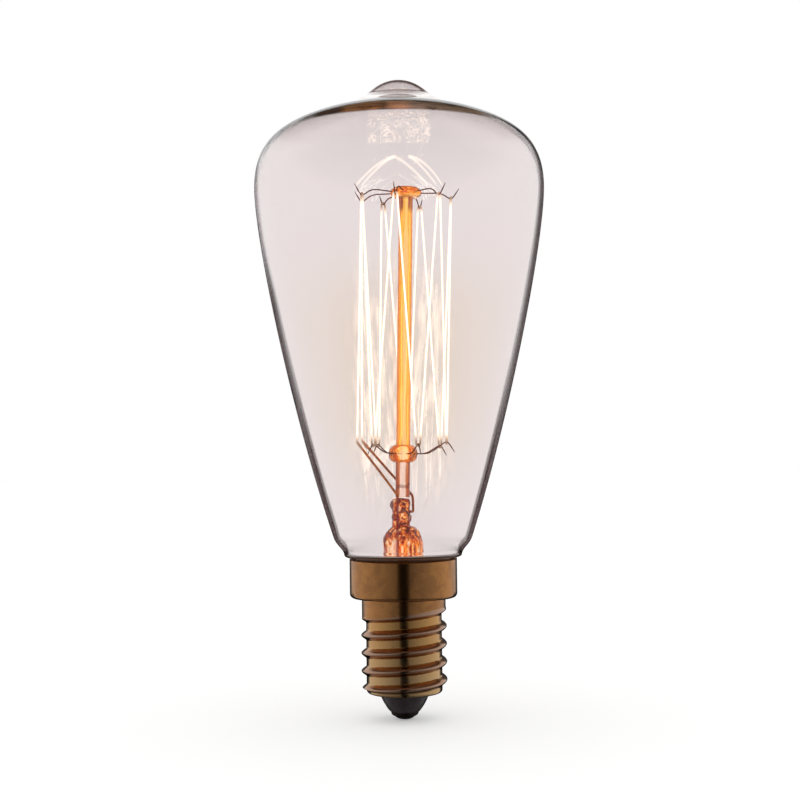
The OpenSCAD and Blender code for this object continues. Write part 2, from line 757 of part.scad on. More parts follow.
module cap_insulator() {
    top = lip_z + insulator_seat;
    edge = plate_t / 4;
    seat_r = root_d / 2 - sheet - insulator_gap;
    hole_r = lip_hole_d / 2;
    color([0.12, 0.1, 0.1]) difference() {
        rotate_extrude() polygon([
            [0, insulator_z],
            [plate_d / 2, insulator_z],
            [plate_d / 2 + edge, insulator_z + 2 * edge],
            [hole_r, shell_z],
            [hole_r, shell_z + sheet],
            [root_d / 2 - lip_h - insulator_gap, shell_z + sheet],
            [seat_r, lip_z + insulator_gap],
            [seat_r, top],
            [0, top]
        ]);
        translate([0, 0, insulator_z - cut]) cylinder(d = insulator_hole_d, h = top - insulator_z + 2 * cut);
    }
}

module contact_plate() {
    edge = plate_t / 2;
    color([0.6, 0.45, 0.3]) difference() {
        union() {
            translate([0, 0, plate_z]) rotate_extrude() polygon(concat(
                [[0, 0]],
                arc([plate_d / 2 - edge, edge], edge, -90, 0, 5),
                [[plate_d / 2, plate_t], [0, plate_t]]
            ));
            translate([0, 0, plate_z]) cylinder(d = insulator_hole_d, h = plate_t + insulator_drop);
        }
        translate([0, 0, plate_z - cut]) cylinder(d = eyelet_d, h = plate_t + insulator_drop + 2 * cut);
    }
}

module centre_solder() {
    r = solder_d / 2;
    color([0.7, 0.7, 0.7]) rotate_extrude() polygon(concat(
        curve([0, 0], [r * 0.55, 0], [r * 0.9, plate_z * 0.4], [r, plate_z], 6),
        [[0, plate_z]]
    ));
}

glass_bulb();
stem_flare();
exhaust_tube();
centre_rod();
upper_button();
lower_button();
upper_hook(0);  // upper_hook_1
upper_hook(1);  // upper_hook_2
upper_hook(2);  // upper_hook_3
upper_hook(3);  // upper_hook_4
upper_hook(4);  // upper_hook_5
upper_hook(5);  // upper_hook_6
upper_hook(6);  // upper_hook_7
lower_hook(0);  // lower_hook_1
lower_hook(1);  // lower_hook_2
lower_hook(2);  // lower_hook_3
lower_hook(3);  // lower_hook_4
lower_hook(4);  // lower_hook_5
lower_hook(5);  // lower_hook_6
filament();
front_lead();
rear_lead();
front_seal_wire();
rear_seal_wire();
centre_tail_wire();
side_tail_wire();
cap_shell();
cap_insulator();
contact_plate();
centre_solder();
side_solder();
basing_cement();
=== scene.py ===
# Looks of a lit filament lamp with a teardrop bulb, a caged filament and a small screw cap.
# Sizes are in millimetres, and MM turns them into the frame's metres. The camera stands
# in front of the lamp, on its -Y side, and +Z runs up the lamp's axis.
import math

import bmesh
import bpy
from mathutils import Matrix, Vector, noise


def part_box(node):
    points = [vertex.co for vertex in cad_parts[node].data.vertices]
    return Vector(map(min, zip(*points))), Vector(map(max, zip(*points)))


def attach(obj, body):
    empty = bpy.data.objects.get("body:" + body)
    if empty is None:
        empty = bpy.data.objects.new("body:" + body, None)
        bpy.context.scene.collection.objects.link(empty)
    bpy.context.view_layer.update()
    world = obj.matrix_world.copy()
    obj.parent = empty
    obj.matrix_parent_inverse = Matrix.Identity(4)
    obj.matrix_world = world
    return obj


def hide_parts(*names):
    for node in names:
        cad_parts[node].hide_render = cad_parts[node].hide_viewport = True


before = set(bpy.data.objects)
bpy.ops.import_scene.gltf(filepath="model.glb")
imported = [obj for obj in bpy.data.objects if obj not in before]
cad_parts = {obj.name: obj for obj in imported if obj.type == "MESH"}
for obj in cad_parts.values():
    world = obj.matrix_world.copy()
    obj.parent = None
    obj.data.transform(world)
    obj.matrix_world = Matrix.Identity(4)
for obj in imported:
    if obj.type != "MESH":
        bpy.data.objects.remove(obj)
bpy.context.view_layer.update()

MM = 0.001


def box_mm(node):
    """Lowest and highest corner of a CAD node, in millimetres."""
    low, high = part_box(node)
    return low / MM, high / MM


# Levels and radii that come from the frame
bulb_low, bulb_high = box_mm("glass_bulb")
shell_low, shell_high = box_mm("cap_shell")
insulator_low, insulator_high = box_mm("cap_insulator")
plate_low, plate_high = box_mm("contact_plate")
stem_high = box_mm("stem_flare")[1]

BULB_R = bulb_high.x
TIP_Z = bulb_high.z
NECK_Z = bulb_low.z
CAP_H = shell_high.z
SKIRT_R = shell_high.x
SHELL_Z = shell_low.z
INSULATOR_Z = insulator_low.z
PLATE_Z = plate_low.z
PLATE_R = plate_high.x
ROD_Z = stem_high.z

# Glass bulb
BULB_RISE = 59.5
CROWN_RISE = 14.6
CROWN_R = 6.6
TIP_H = 3.3
CONE_R = 11.1
CONE_RISE = 3.4
CONE_SLOPE = 0.33
SHOULDER_R = SKIRT_R + 0.85
NECK_R = SKIRT_R - 0.7
RIM_GAP = 0.3
WIDEST_Z = CAP_H + BULB_RISE
CROWN_Z = WIDEST_Z + CROWN_RISE
CONE_Z = CAP_H + CONE_RISE
SHOULDER_Z = CAP_H + RIM_GAP
SHOULDER_ROUND = RIM_GAP * 1.5
# How far the outline's curves keep the direction of their ends, as shares of their heights: above
# the cone's foot, below the widest place, above it, at the crown, and below the cone's foot
CONE_KEEP = 0.35
WIDEST_KEEP = 0.145
CROWN_KEEP = 0.74
CROWN_LEAVE = Vector((0.56, -0.315))
SHOULDER_KEEP = 0.45
# Wall of the blown glass at the tip, on the crown, at the widest place and at the foot of the cone
TIP_WALL = 0.2
CROWN_WALL = 0.5
SIDE_WALL = 0.3
FOOT_WALL = 0.4
# Height at which the crown bends over towards the tip, and height of the dark band painted there, a painted
# reflection of dark surroundings
PAINTED_BAND_Z = CROWN_Z - 6.85
PAINTED_BAND_H = 3.2
PAINTED_BAND_TOP_Z = PAINTED_BAND_Z + PAINTED_BAND_H
# Thickness of the flat ledge between the shoulder and the neck
SHELF_T = 0.45
# Height of the dark line at the bulb's foot, just above the cap's rim, and the height at which it starts to
# fade
RIM_H = 0.6
RIM_FADE_H = 0.4

# Cap
SHEET = 0.3
SKIRT_H = 6.2
SKIRT_ROUND = 0.7
BAND_FILLET = 0.15
BAND_R = 6.7
BAND_H = 1.4
CREST_R = 6.85
ROOT_R = 6.05
THREAD_PITCH = 2.822
CREST_W = 1.6
CREST_SHAPE = 0.6
THREAD_START = 180
FIRST_CREST_DROP = THREAD_PITCH * 0.6
GROOVE_END = 80
LIP_H = 0.5
LIP_HOLE_R = 4
PLATE_T = 0.6
SOLDER_R = 1.6
EYELET_R = 0.75
EYELET_HOLE_R = 0.45
INSULATOR_GAP = 0.05
SKIRT_Z = CAP_H - SKIRT_H
THREAD_TOP_Z = SKIRT_Z - BAND_H
LIP_Z = SHELL_Z + LIP_H

# Stem
STEM_R = 3.25
STEM_WALL = 0.7
NARROWING_H = 3.6
FLARE_TOP_Z = CAP_H - 0.4
FLARE_BEND = 1.2
PINCH_H = 4.6
PINCH_W = 3.2
PINCH_T = 3.32
PINCH_SHIFT = 0.3
PINCH_FLOOR_T = 1.9
PINCH_FLOOR_R = 1.8
PINCH_RIGHT = PINCH_W / 2 - PINCH_SHIFT
PINCH_Z = ROD_Z - PINCH_H
PINCH_FLOOR_Z = PINCH_Z - PINCH_FLOOR_T
LEAD_PITCH = 1.6
LEAD_FRONT = 1.209
LEAD_D = 0.4
LEAD_LOOP = 0.37
LEAD_PASS_H = 1.6
# Where the front seal wire shows through the kneaded glass, to the left of the axis
RED_LINE_X = 0.85
# Lumps of the kneaded pinch: distance to the right of the axis, height above the pinch's foot,
# half width and half height
LUMPS = ((-0.45, 3.35, 1.5, 1.25), (-0.15, 1.35, 1.65, 1.2))
# How far the kneading lifts the glass, and how deep its folds are
KNEAD_LIFT = 0.3
KNEAD_FOLD = 0.25
# Edge of the small cells that the stem's skin is made of
STEM_VOXEL = 0.18

# Rod, buttons and hooks
ROD_R = 1.15
ROD_GAP = 0.1
ROD_SWELL = 0.02
ROD_END_GAP = 0.05
ROD_LEAN = math.radians(1.27)
LOWER_BUTTON_Z = ROD_Z + 6.95
UPPER_BUTTON_Z = LOWER_BUTTON_Z + 42.3
UPPER_BUTTON_R = 2.65
UPPER_BUTTON_T = 1.8
LOWER_BUTTON_R = 2.4
LOWER_BUTTON_T = 2.9
BUTTON_UNEVEN = 0.03
HOOK_D = 0.2
HOOK_SEAT = 1
HOOK_STUB = 0.6
HOOK_TAIL = 1.3
# Where an upper and a lower hook's wire bends on its way out, as a share of that way
UPPER_KNEE = 0.66
LOWER_KNEE = 0.45
# Half of the short level part at each hook's loop, as a share of its free end
BEND_SHARE = 0.2
UPPER_RING_R = 7.45
LOWER_RING_R = 7.15
UPPER_DIP = 0.85
LOWER_ARCH = 1.8
UPPER_TAIL_RISE = 1.7
LOWER_TAIL_DROP = 1.6
# Directions of the hooks round the rod, in degrees, and each hand-bent hook's difference:
# its loop further out, its loop higher
UPPER_TURNS = (204, 257, 317, 364, 431, 480, 519)
LOWER_TURNS = (230, 289, 347, 393, 445, 487)
UPPER_BENDS = (
    (0.25, -0.2), (-0.05, -0.85), (-0.3, -0.35), (-0.1, 0.05), (-0.3, -0.4), (0.1, 0.15), (0.25, -0.1))
LOWER_BENDS = ((0.1, -0.45), (0, -0.3), (-0.05, 0.15), (0.1, -0.4), (0, -0.2), (-0.2, -0.3))

# Filament and lead wires
FILAMENT_D = 0.3
FILAMENT_GAP = 0.06
TURN_R = HOOK_D / 2 + FILAMENT_GAP + FILAMENT_D / 2
LEAD_RISE = 1.7
CLAMP_L = 1.4
# Folded tips of the lead wires: distance from the axis, direction in degrees, height
FRONT_TIP = (LOWER_RING_R + 0.3, 190, LOWER_BUTTON_Z + LEAD_RISE)
REAR_TIP = (LOWER_RING_R - 0.55, 532, LOWER_BUTTON_Z + LEAD_RISE + 0.2)
# Where the lead wires leave the pinch: the front one on top, the rear one at the side
FRONT_ROOT = Vector((-LEAD_PITCH / 2, -LEAD_FRONT, ROD_Z))
REAR_ROOT = Vector((PINCH_RIGHT, -LEAD_FRONT, PINCH_Z + PINCH_H / 2))


# Camera

LENS = 60.4
SENSOR = 36
CAMERA_PLACE = Vector((-0.235, -216, 40.27))
CAMERA_UP = math.radians(2.8)
CAMERA_ROLL = math.radians(-0.64)


def new_object(name, data):
    """An object in the scene."""
    ob = bpy.data.objects.new(name, data)
    bpy.context.scene.collection.objects.link(ob)
    return ob


def make_camera():
    """The camera looks a little upwards from 216 mm in front of the lamp's axis."""
    camera = new_object("camera", bpy.data.cameras.new("camera"))
    camera.data.lens = LENS
    camera.data.sensor_width = SENSOR
    camera.data.clip_start = 1 * MM
    turn = Matrix.Rotation(math.pi / 2 + CAMERA_UP, 4, "X") @ Matrix.Rotation(CAMERA_ROLL, 4, "Z")
    camera.matrix_world = Matrix.Translation(CAMERA_PLACE * MM) @ turn
    bpy.context.scene.camera = camera


make_camera()


# Outlines, in a radius and a height

def curve(p0, p1, p2, p3, steps):
    """Points of a cubic curve from p0 to p3, drawn towards p1 and p2."""
    points = []
    for i in range(steps + 1):
        t = i / steps
        u = 1 - t
        parts = (
            u ** 3 * Vector(p0), 3 * u * u * t * Vector(p1), 3 * u * t * t * Vector(p2),
            t ** 3 * Vector(p3))
        points.append(sum(parts[1:], parts[0]))
    return points


def arc(centre, r, start, end, steps):
    """Points of a circular arc, between two angles in degrees."""
    angles = [math.radians(start + (end - start) * i / steps) for i in range(steps + 1)]
    return [Vector((centre[0] + r * math.cos(a), centre[1] + r * math.sin(a))) for a in angles]


def ease(value, low, high):
    """A share that grows smoothly from 0 at low to 1 at high."""
    t = min(max((value - low) / (high - low), 0), 1)
    return t * t * (3 - 2 * t)


def line(start, end, steps):
    """Points of a straight line."""
    return [Vector(start).lerp(Vector(end), i / steps) for i in range(steps + 1)]


def polar(r, turn, z):
    """A point at a distance from the axis, in a direction in degrees, at a height."""
    a = math.radians(turn)
    return Vector((r * math.cos(a), r * math.sin(a), z))


def lean(p):
    """A point of the stem's upright frame, moved with the leaning rod."""
    c, s = math.cos(ROD_LEAN), math.sin(ROD_LEAN)
    up = p[2] - ROD_Z
    return Vector((p[0] * c + up * s, p[1], ROD_Z + up * c - p[0] * s))


# Meshes

# Edges that turn by more than this stay sharp
SHARP_EDGE = math.radians(40)


def spun(outline, steps):
    """A bmesh, in millimetres, of an outline turned once round the axis."""
    bm = bmesh.new()
    verts = [bm.verts.new((p[0], 0, p[1])) for p in outline]
    edges = [bm.edges.new(pair) for pair in zip(verts, verts[1:])]
    bmesh.ops.spin(
        bm, geom=verts + edges, cent=(0, 0, 0), axis=(0, 0, 1), dvec=(0, 0, 0),
        angle=math.tau, steps=steps, use_merge=True)
    bmesh.ops.remove_doubles(bm, verts=bm.verts, dist=1e-4)
    bmesh.ops.recalc_face_normals(bm, faces=bm.faces)
    return bm


def closed(outline):
    """An outline that returns to its first point."""
    return list(outline) + [outline[0]]


def vectors(*places):
    """Places as vectors."""
    return [Vector(place) for place in places]


def mesh_from(name, bm):
    """A mesh from a bmesh, which is used up."""
    mesh = bpy.data.meshes.new(name)
    bm.to_mesh(mesh)
    bm.free()
    return mesh


def add_piece(ob, node, slot):
    """Gives a finished piece its material, its place in the frame and its slot."""
    ob.data.materials.clear()
    ob.data.materials.append(materials[slot])
    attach(ob, "root")
    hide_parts(node)
    return ob


def mesh_piece(name, bm, slot):
    """A piece from a bmesh in millimetres, smooth but for its sharp edges."""
    bmesh.ops.scale(bm, vec=(MM, MM, MM), verts=bm.verts)
    mesh = mesh_from(name, bm)
    mesh.shade_smooth()
    mesh.set_sharp_from_angle(angle=SHARP_EDGE)
    return add_piece(new_object(name, mesh), name, slot)


def rounded(points, passes):
    """A bent wire's points with each corner cut off, several times."""
    for _ in range(passes):
        cut = [points[0]]
        last = len(points) - 2
        for i in range(last + 1):
            a, b = points[i], points[i + 1]
            shares = [0.75] if i == 0 else [0.25] if i == last else [0.25, 0.75]
            cut += [a.lerp(b, s) for s in shares]
        points = cut + [points[-1]]
    return points


def wire_piece(name, points, d, slot, taper=()):
    """A round wire along points in millimetres. taper holds the radius shares of its last points."""
    data = bpy.data.curves.new(name, "CURVE")
    data.dimensions = "3D"
    data.bevel_depth = d / 2 * MM
    data.bevel_resolution = 3
    data.use_fill_caps = True
    spline = data.splines.new("POLY")
    spline.points.add(len(points) - 1)
    for point, place in zip(spline.points, points):
        point.co = (*(place * MM), 1)
    for point, share in zip(reversed(spline.points), taper):
        point.radius = share
    add_piece(new_object(name, data), name, slot)


# Materials

# Tints of the bulb's glass: plain; warm with painted light beside the filament; greyer with painted shade
# below the tip;
# and at its edges painted shade, dark, but with a pale painted highlight at the upper left
PLAIN_TINT = (0.906, 0.859, 0.856)
WARM_TINT = (0.885, 0.785, 0.69)
SHADE_TINT = (0.78, 0.72, 0.72)
DARK_EDGE = (0.04, 0.02, 0.02)
PALE_EDGE = (0.62, 0.53, 0.56)
# Colours of the painted reflections of the filament, and of the painted highlight below the tip
PAINTED_REFLECTION_COLOUR = (1, 0.76, 0.54)
TIP_HIGHLIGHT = (0.27, 0.25, 0.24)
STREAK_LEVEL = 0.2
ARC_LEVEL = 0.15
# Arcs over the cage: middle, how fast it falls, the power that bends it, and its side if it has one
ARCS = ((-0.5, 0.235, 1.6, -1), (-0.7, 0.52, 1.3, 0), (1.3, 0.19, 1.9, 1), (1.45, 0.67, 1.3, 1))
ARC_TOP_Z = WIDEST_Z + 0.1
# Heights over which the painted warm light on the glass behind the filament rises, and fades again
WARM_GLOW_RISE = (28, 50)
WARM_GLOW_FALL = (62, 84)
# Colours that lamp light takes on in the blown glass and in the worked glass
BULB_LIGHT = (0.95, 0.93, 0.92)
AMBER_LIGHT = (0.95, 0.8, 0.6)
# Strength of the filament's glow, what its mirror pictures add, and the share left where it is cool
GLOW_LEVEL = 1.6
MIRRORED_GLOW = 4.0
COOL_SHARE = 0.2


def new_material(name):
    """A node material, its empty tree and its output node."""
    material = bpy.data.materials.new(name)
    material.use_nodes = True
    material.node_tree.nodes.clear()
    return material, material.node_tree, material.node_tree.nodes.new("ShaderNodeOutputMaterial")


def feed(tree, socket, value):
    """Sets a socket to a plain value, or links another node's output to it."""
    if isinstance(value, bpy.types.NodeSocket):
        tree.links.new(value, socket)
    else:
        socket.default_value = value


def shader(tree, kind, **sockets):
    """A shader node with its sockets fed by their names, where _ stands for a space."""
    made = tree.nodes.new("ShaderNode" + kind)
    for name, value in sockets.items():
        feed(tree, made.inputs[name.replace("_", " ")], value)
    return made


def maths(tree, operation, a, b=0.0):
    """Output of a Math node."""
    made = tree.nodes.new("ShaderNodeMath")
    made.operation = operation
    feed(tree, made.inputs[0], a)
    feed(tree, made.inputs[1], b)
    return made.outputs[0]


def vector_maths(tree, operation, a, b=(0, 0, 0)):
    """Outputs of a Vector Math node."""
    made = tree.nodes.new("ShaderNodeVectorMath")
    made.operation = operation
    feed(tree, made.inputs[0], a)
    feed(tree, made.inputs[1], b)
    return made.outputs


def plus(tree, a, b):
    """Sum of two values."""
    return maths(tree, "ADD", a, b)


def less(tree, a, b):
    """Difference of two values."""
    return maths(tree, "SUBTRACT", a, b)


def times(tree, value, *others):
    """Product of several values."""
    for other in others:
        value = maths(tree, "MULTIPLY", value, other)
    return value


def size_of(tree, value):
    """A value without its sign."""
    return maths(tree, "ABSOLUTE", value)


def level_length(tree, x, y):
    """Length of the level part of a vector."""
    return maths(tree, "POWER", plus(tree, times(tree, x, x), times(tree, y, y)), 0.5)


def spread(tree, value, low, high, start=0.0, end=1.0, kind="SMOOTHSTEP"):
    """A value between low and high, spread over start to end and held there."""
    made = tree.nodes.new("ShaderNodeMapRange")
    made.interpolation_type = kind
    for socket, number in zip(made.inputs, (value, low, high, start, end)):
        feed(tree, socket, number)
    return made.outputs[0]


def between(tree, value, rise, fall):
    """Grows from 0 to 1 over the pair rise, and falls back to 0 over the pair fall."""
    return times(tree, spread(tree, value, *rise), spread(tree, value, *fall, 1, 0))


def blend(tree, factor, a, b, kind="MIX"):
    """Colour a turned into colour b by a factor."""
    made = tree.nodes.new("ShaderNodeMix")
    made.data_type = "RGBA"
    made.blend_type = kind
    feed(tree, made.inputs[0], factor)
    feed(tree, made.inputs[6], a if isinstance(a, bpy.types.NodeSocket) else (*a, 1))
    feed(tree, made.inputs[7], b if isinstance(b, bpy.types.NodeSocket) else (*b, 1))
    return made.outputs[2]


def ramp(tree, value, stops):
    """Colours at places from 0 to 1. A stop is a place with a grey level or a colour."""
    made = tree.nodes.new("ShaderNodeValToRGB")
    feed(tree, made.inputs[0], value)
    elements = made.color_ramp.elements
    while len(elements) < len(stops):
        elements.new(1)
    for element, (place, colour) in zip(elements, stops):
        element.position = place
        element.color = (*colour, 1) if isinstance(colour, tuple) else (colour, colour, colour, 1)
    return made.outputs[0]


def place_mm(tree, stretch=(1, 1, 1)):
    """Object coordinates in millimetres, stretched along the axes."""
    coordinates = tree.nodes.new("ShaderNodeTexCoord")
    mapping = tree.nodes.new("ShaderNodeMapping")
    tree.links.new(coordinates.outputs["Object"], mapping.inputs["Vector"])
    mapping.inputs["Scale"].default_value = [s / MM for s in stretch]
    return mapping.outputs[0]


def axes(tree, vector):
    """The three parts of a vector."""
    made = tree.nodes.new("ShaderNodeSeparateXYZ")
    tree.links.new(vector, made.inputs[0])
    return made.outputs


def clouds(tree, vector, scale, detail=2.0, roughness=0.5, distortion=0.0):
    """Noise whose patches are about 1 / scale millimetres across."""
    made = shader(tree, "TexNoise", Vector=vector, Scale=scale, Detail=detail, Roughness=roughness,
                  Distortion=distortion)
    return made.outputs[0]


def bumps(tree, height, distance, strength=1.0, below=None):
    """A bump, distance millimetres deep, over another one."""
    made = shader(tree, "Bump", Height=height, Distance=distance * MM, Strength=strength)
    if below is not None:
        tree.links.new(below, made.inputs["Normal"])
    return made.outputs[0]


def facing(tree, normal=None):
    """0 where a surface faces the eye, and 1 where it is seen edge on."""
    made = tree.nodes.new("ShaderNodeLayerWeight")
    made.inputs["Blend"].default_value = 0.5
    if normal is not None:
        tree.links.new(normal, made.inputs["Normal"])
    return made.outputs["Facing"]


def rays(tree):
    """The kinds of ray a surface is seen by."""
    return tree.nodes.new("ShaderNodeLightPath").outputs


def swapped(tree, factor, a, b):
    """Shader a where factor is 0, and shader b where it is 1."""
    made = tree.nodes.new("ShaderNodeMixShader")
    for socket, value in zip(made.inputs, (factor, a, b)):
        feed(tree, socket, value)
    return made.outputs[0]


def show(tree, output, surface, lit_through=None):
    """Links a shader to the output. Lamp light passes it, tinted, where lit_through is a colour."""
    if lit_through is not None:
        clear = shader(tree, "BsdfTransparent", Color=(*lit_through, 1))
        surface = swapped(tree, rays(tree)["Is Shadow Ray"], surface, clear.outputs[0])
    tree.links.new(surface, output.inputs["Surface"])


def in_front(tree):
    """1 on the near half of the bulb and 0 on its far half, from wherever it is seen."""
    geometry = tree.nodes.new("ShaderNodeNewGeometry").outputs
    outward = vector_maths(tree, "DOT_PRODUCT", geometry["Normal"], geometry["Position"])["Value"]
    return maths(tree, "GREATER_THAN", outward, 0.0)


def with_edges(tree, tint, x, z, seen):
    """A tint with the bulb's edges painted in: dark painted shade where the wall is seen edge on, a pale
    painted highlight at the upper left. The crown has none.
    """
    # Painted highlight: the edge lines turn pale at the upper left
    left = spread(tree, x, -18, 2, 1, 0)
    upper = spread(tree, z, 66, 80)
    faint = times(tree, left, upper)
    start = ramp(tree, maths(tree, "DIVIDE", z, TIP_Z), (
        (0.25, 0.66), (0.3, 0.63), (0.38, 0.64), (0.6, 0.69), (0.74, 0.72), (0.9, 0.76), (0.965, 0.76),
        (0.98, 0.68), (1, 0.68)))
    start = plus(tree, start, times(tree, faint, 0.06))
    # Painted shade: a dark line where the wall is seen edge on
    edge = spread(tree, less(tree, seen, start), 0, 0.05)
    crown = between(tree, z, (PAINTED_BAND_Z, PAINTED_BAND_Z + 2), (CROWN_Z - 0.3, CROWN_Z))
    edge = times(tree, edge, less(tree, 1.0, crown))
    return blend(tree, edge, tint, blend(tree, faint, DARK_EDGE, PALE_EDGE))


def bulb_glass():
    """Thin blown glass, a little grey and pink, with painted light and shade: a warm painted glow on the far
    side of the filament, dark painted edges, a dark painted band and a pale painted highlight below the tip,
    faint painted reflections of the filament, and a dark line round its foot just above the cap."""
    material, tree, output = new_material("bulb_glass")
    x, y, z = axes(tree, place_mm(tree))
    seen = facing(tree)
    near_side = in_front(tree)
    # Painted light: a warm tint on the far wall, where the filament's light would fall on it
    middle = spread(tree, seen, 0.1, 0.28, 1, 0)
    warm_glow_zone = times(tree, middle, between(tree, z, WARM_GLOW_RISE, WARM_GLOW_FALL), less(tree, 1.0, near_side))
    tint = blend(tree, warm_glow_zone, PLAIN_TINT, WARM_TINT)
    # Painted shade: the near side below the tip's bend is greyer
    shade = times(tree, spread(tree, z, PAINTED_BAND_Z - 4, PAINTED_BAND_Z), spread(tree, seen, 0.15, 0.4), near_side)
    tint = blend(tree, shade, tint, SHADE_TINT)
    tint = with_edges(tree, tint, x, z, seen)
    # Painted reflection: the dark band on the crown's bend
    tint = blend(tree, painted_band(tree, x, z, seen), tint, painted_band_colour(tree, x))

    foot = spread(tree, z, SHOULDER_Z + RIM_FADE_H, SHOULDER_Z + RIM_H, 1, 0)
    rim = ramp(tree, spread(tree, z, SHOULDER_Z, SHOULDER_Z + RIM_H, kind="LINEAR"), (
        (0.1, (0.12, 0.055, 0.03)), (0.35, (0.035, 0.018, 0.012)), (0.7, (0.05, 0.025, 0.018)),
        (1, (0.5, 0.38, 0.32))))
    tint = blend(tree, foot, tint, rim)
    # Painted reflections of the filament, as glow on the glass, but not at the foot
    glow = blend(tree, foot, painted_reflections(tree, x, y, z, warm_glow_zone), (0, 0, 0))
    # Painted highlight: a pale glow just above the dark band, on the near side
    bend = times(tree, spread(tree, z, PAINTED_BAND_TOP_Z, PAINTED_BAND_TOP_Z + 0.4), spread(tree, seen, 0.875, 0.9))
    glow = blend(tree, times(tree, bend, near_side), glow, TIP_HIGHLIGHT)
    waves = clouds(tree, place_mm(tree, (1, 1, 0.25)), 0.25, 1)
    glass = shader(
        tree, "BsdfPrincipled", Base_Color=tint, Roughness=0.0, IOR=1.47,
        Transmission_Weight=less(tree, 1.0, foot), Emission_Color=glow, Emission_Strength=1.0,
        Normal=bumps(tree, waves, 0.05, 0.3))
    show(tree, output, glass.outputs[0], BULB_LIGHT)
    return material


def painted_band(tree, x, z, seen):
    """Where the dark band on the bend below the tip is painted: on the near side, seen from in front. It is a
    painted reflection of dark surroundings.
    """
    ring = between(tree, z, (PAINTED_BAND_Z - 0.2, PAINTED_BAND_Z + 0.2), (PAINTED_BAND_TOP_Z - 0.6, PAINTED_BAND_TOP_Z))
    front = between(tree, seen, (0.44, 0.52), (0.8, 0.87))
    ends = spread(tree, size_of(tree, x), 12, 16, 1, 0.25)
    return times(tree, ring, front, in_front(tree), ends)


def painted_band_colour(tree, x):
    """Colours of the painted band: near black at the left, then golden, orange in the middle and grey-brown
    at the right.
    """
    place = spread(tree, x, -13, 13, kind="LINEAR")
    colour = ramp(tree, place, (
        (0.16, (0.003, 0.001, 0.001)), (0.21, (0.17, 0.035, 0.005)), (0.37, (0.16, 0.03, 0.005)),
        (0.42, (0.03, 0.007, 0.002)), (0.46, (0.4, 0.09, 0.025)), (0.53, (0.45, 0.12, 0.04)),
        (0.58, (0.15, 0.065, 0.036)), (0.8, (0.12, 0.058, 0.028)), (1, (0.09, 0.045, 0.02))))
    grain = clouds(tree, place_mm(tree, (0.1, 0.1, 2.6)), 1, 3, 0.6)
    return blend(tree, 1.0, colour, ramp(tree, grain, ((0.38, 0.2), (0.5, 0.9), (0.6, 1.6))), "MULTIPLY")


def streaks(tree, x, warm_glow_zone):
    """Upright streaks of painted light, faint reflections of the filament, in the painted warm glow behind
    it.
    """
    grain = clouds(tree, place_mm(tree, (1.1, 1.1, 0.004)), 1)
    middle = spread(tree, size_of(tree, x), 6, 10, 1, 0)
    return times(tree, spread(tree, grain, 0.47, 0.66, 0, STREAK_LEVEL), middle, warm_glow_zone)


def squiggles(tree, x, z):
    """A patch of fine bright squiggles below the crown's bend: a painted reflection of the filament's cage.
    """
    wriggle = less(tree, clouds(tree, place_mm(tree), 0.6, 2, 0.5, 1.4), 0.5)
    lines = spread(tree, size_of(tree, wriggle), 0, 0.045, 0.2, 0.01)
    height = between(tree, z, (PAINTED_BAND_Z - 5.9, PAINTED_BAND_Z - 5.3), (PAINTED_BAND_Z - 0.8, PAINTED_BAND_Z))
    return times(tree, lines, height, spread(tree, size_of(tree, x), 4.2, 4.8, 1, 0))


def arc_lines(tree, x, z):
    """Pale arcs over the cage, painted reflections of the filament, which fall to one side or to both."""
    drawn = 0.0
    for middle, fall, power, side in ARCS:
        away = less(tree, x, middle)
        drop = times(tree, maths(tree, "POWER", size_of(tree, away), power), fall)
        off = size_of(tree, less(tree, plus(tree, z, drop), ARC_TOP_Z))
        stroke = times(tree, spread(tree, off, 0.1, 0.36, ARC_LEVEL, 0), spread(tree, drop, 3.4, 4.4, 1, 0))
        if side:
            stroke = times(tree, stroke, spread(tree, times(tree, away, side), -0.1, 0.2))
        drawn = plus(tree, drawn, stroke)
    return drawn


def painted_reflections(tree, x, y, z, warm_glow_zone):
    """Faint painted reflections of the filament, given as glow in the glass. The arcs and squiggles are on
    the front half only.
    """
    front = spread(tree, y, -1, 1, 1, 0)
    drawn = times(tree, plus(tree, squiggles(tree, x, z), arc_lines(tree, x, z)), front)
    return blend(tree, plus(tree, streaks(tree, x, warm_glow_zone), drawn), (0, 0, 0), PAINTED_REFLECTION_COLOUR)


def worked_glass(tree, output, colour, glow, grain, depth, clear):
    """Thick hand-worked glass of a colour, with a painted glow in its own colour that stands in for the
    filament's light.
    """
    glass = shader(
        tree, "BsdfPrincipled", Base_Color=colour, Roughness=0.03, IOR=1.5, Transmission_Weight=clear,
        Specular_IOR_Level=0.2, Emission_Color=colour, Emission_Strength=glow,
        Normal=bumps(tree, grain, depth))
    show(tree, output, glass.outputs[0], AMBER_LIGHT)


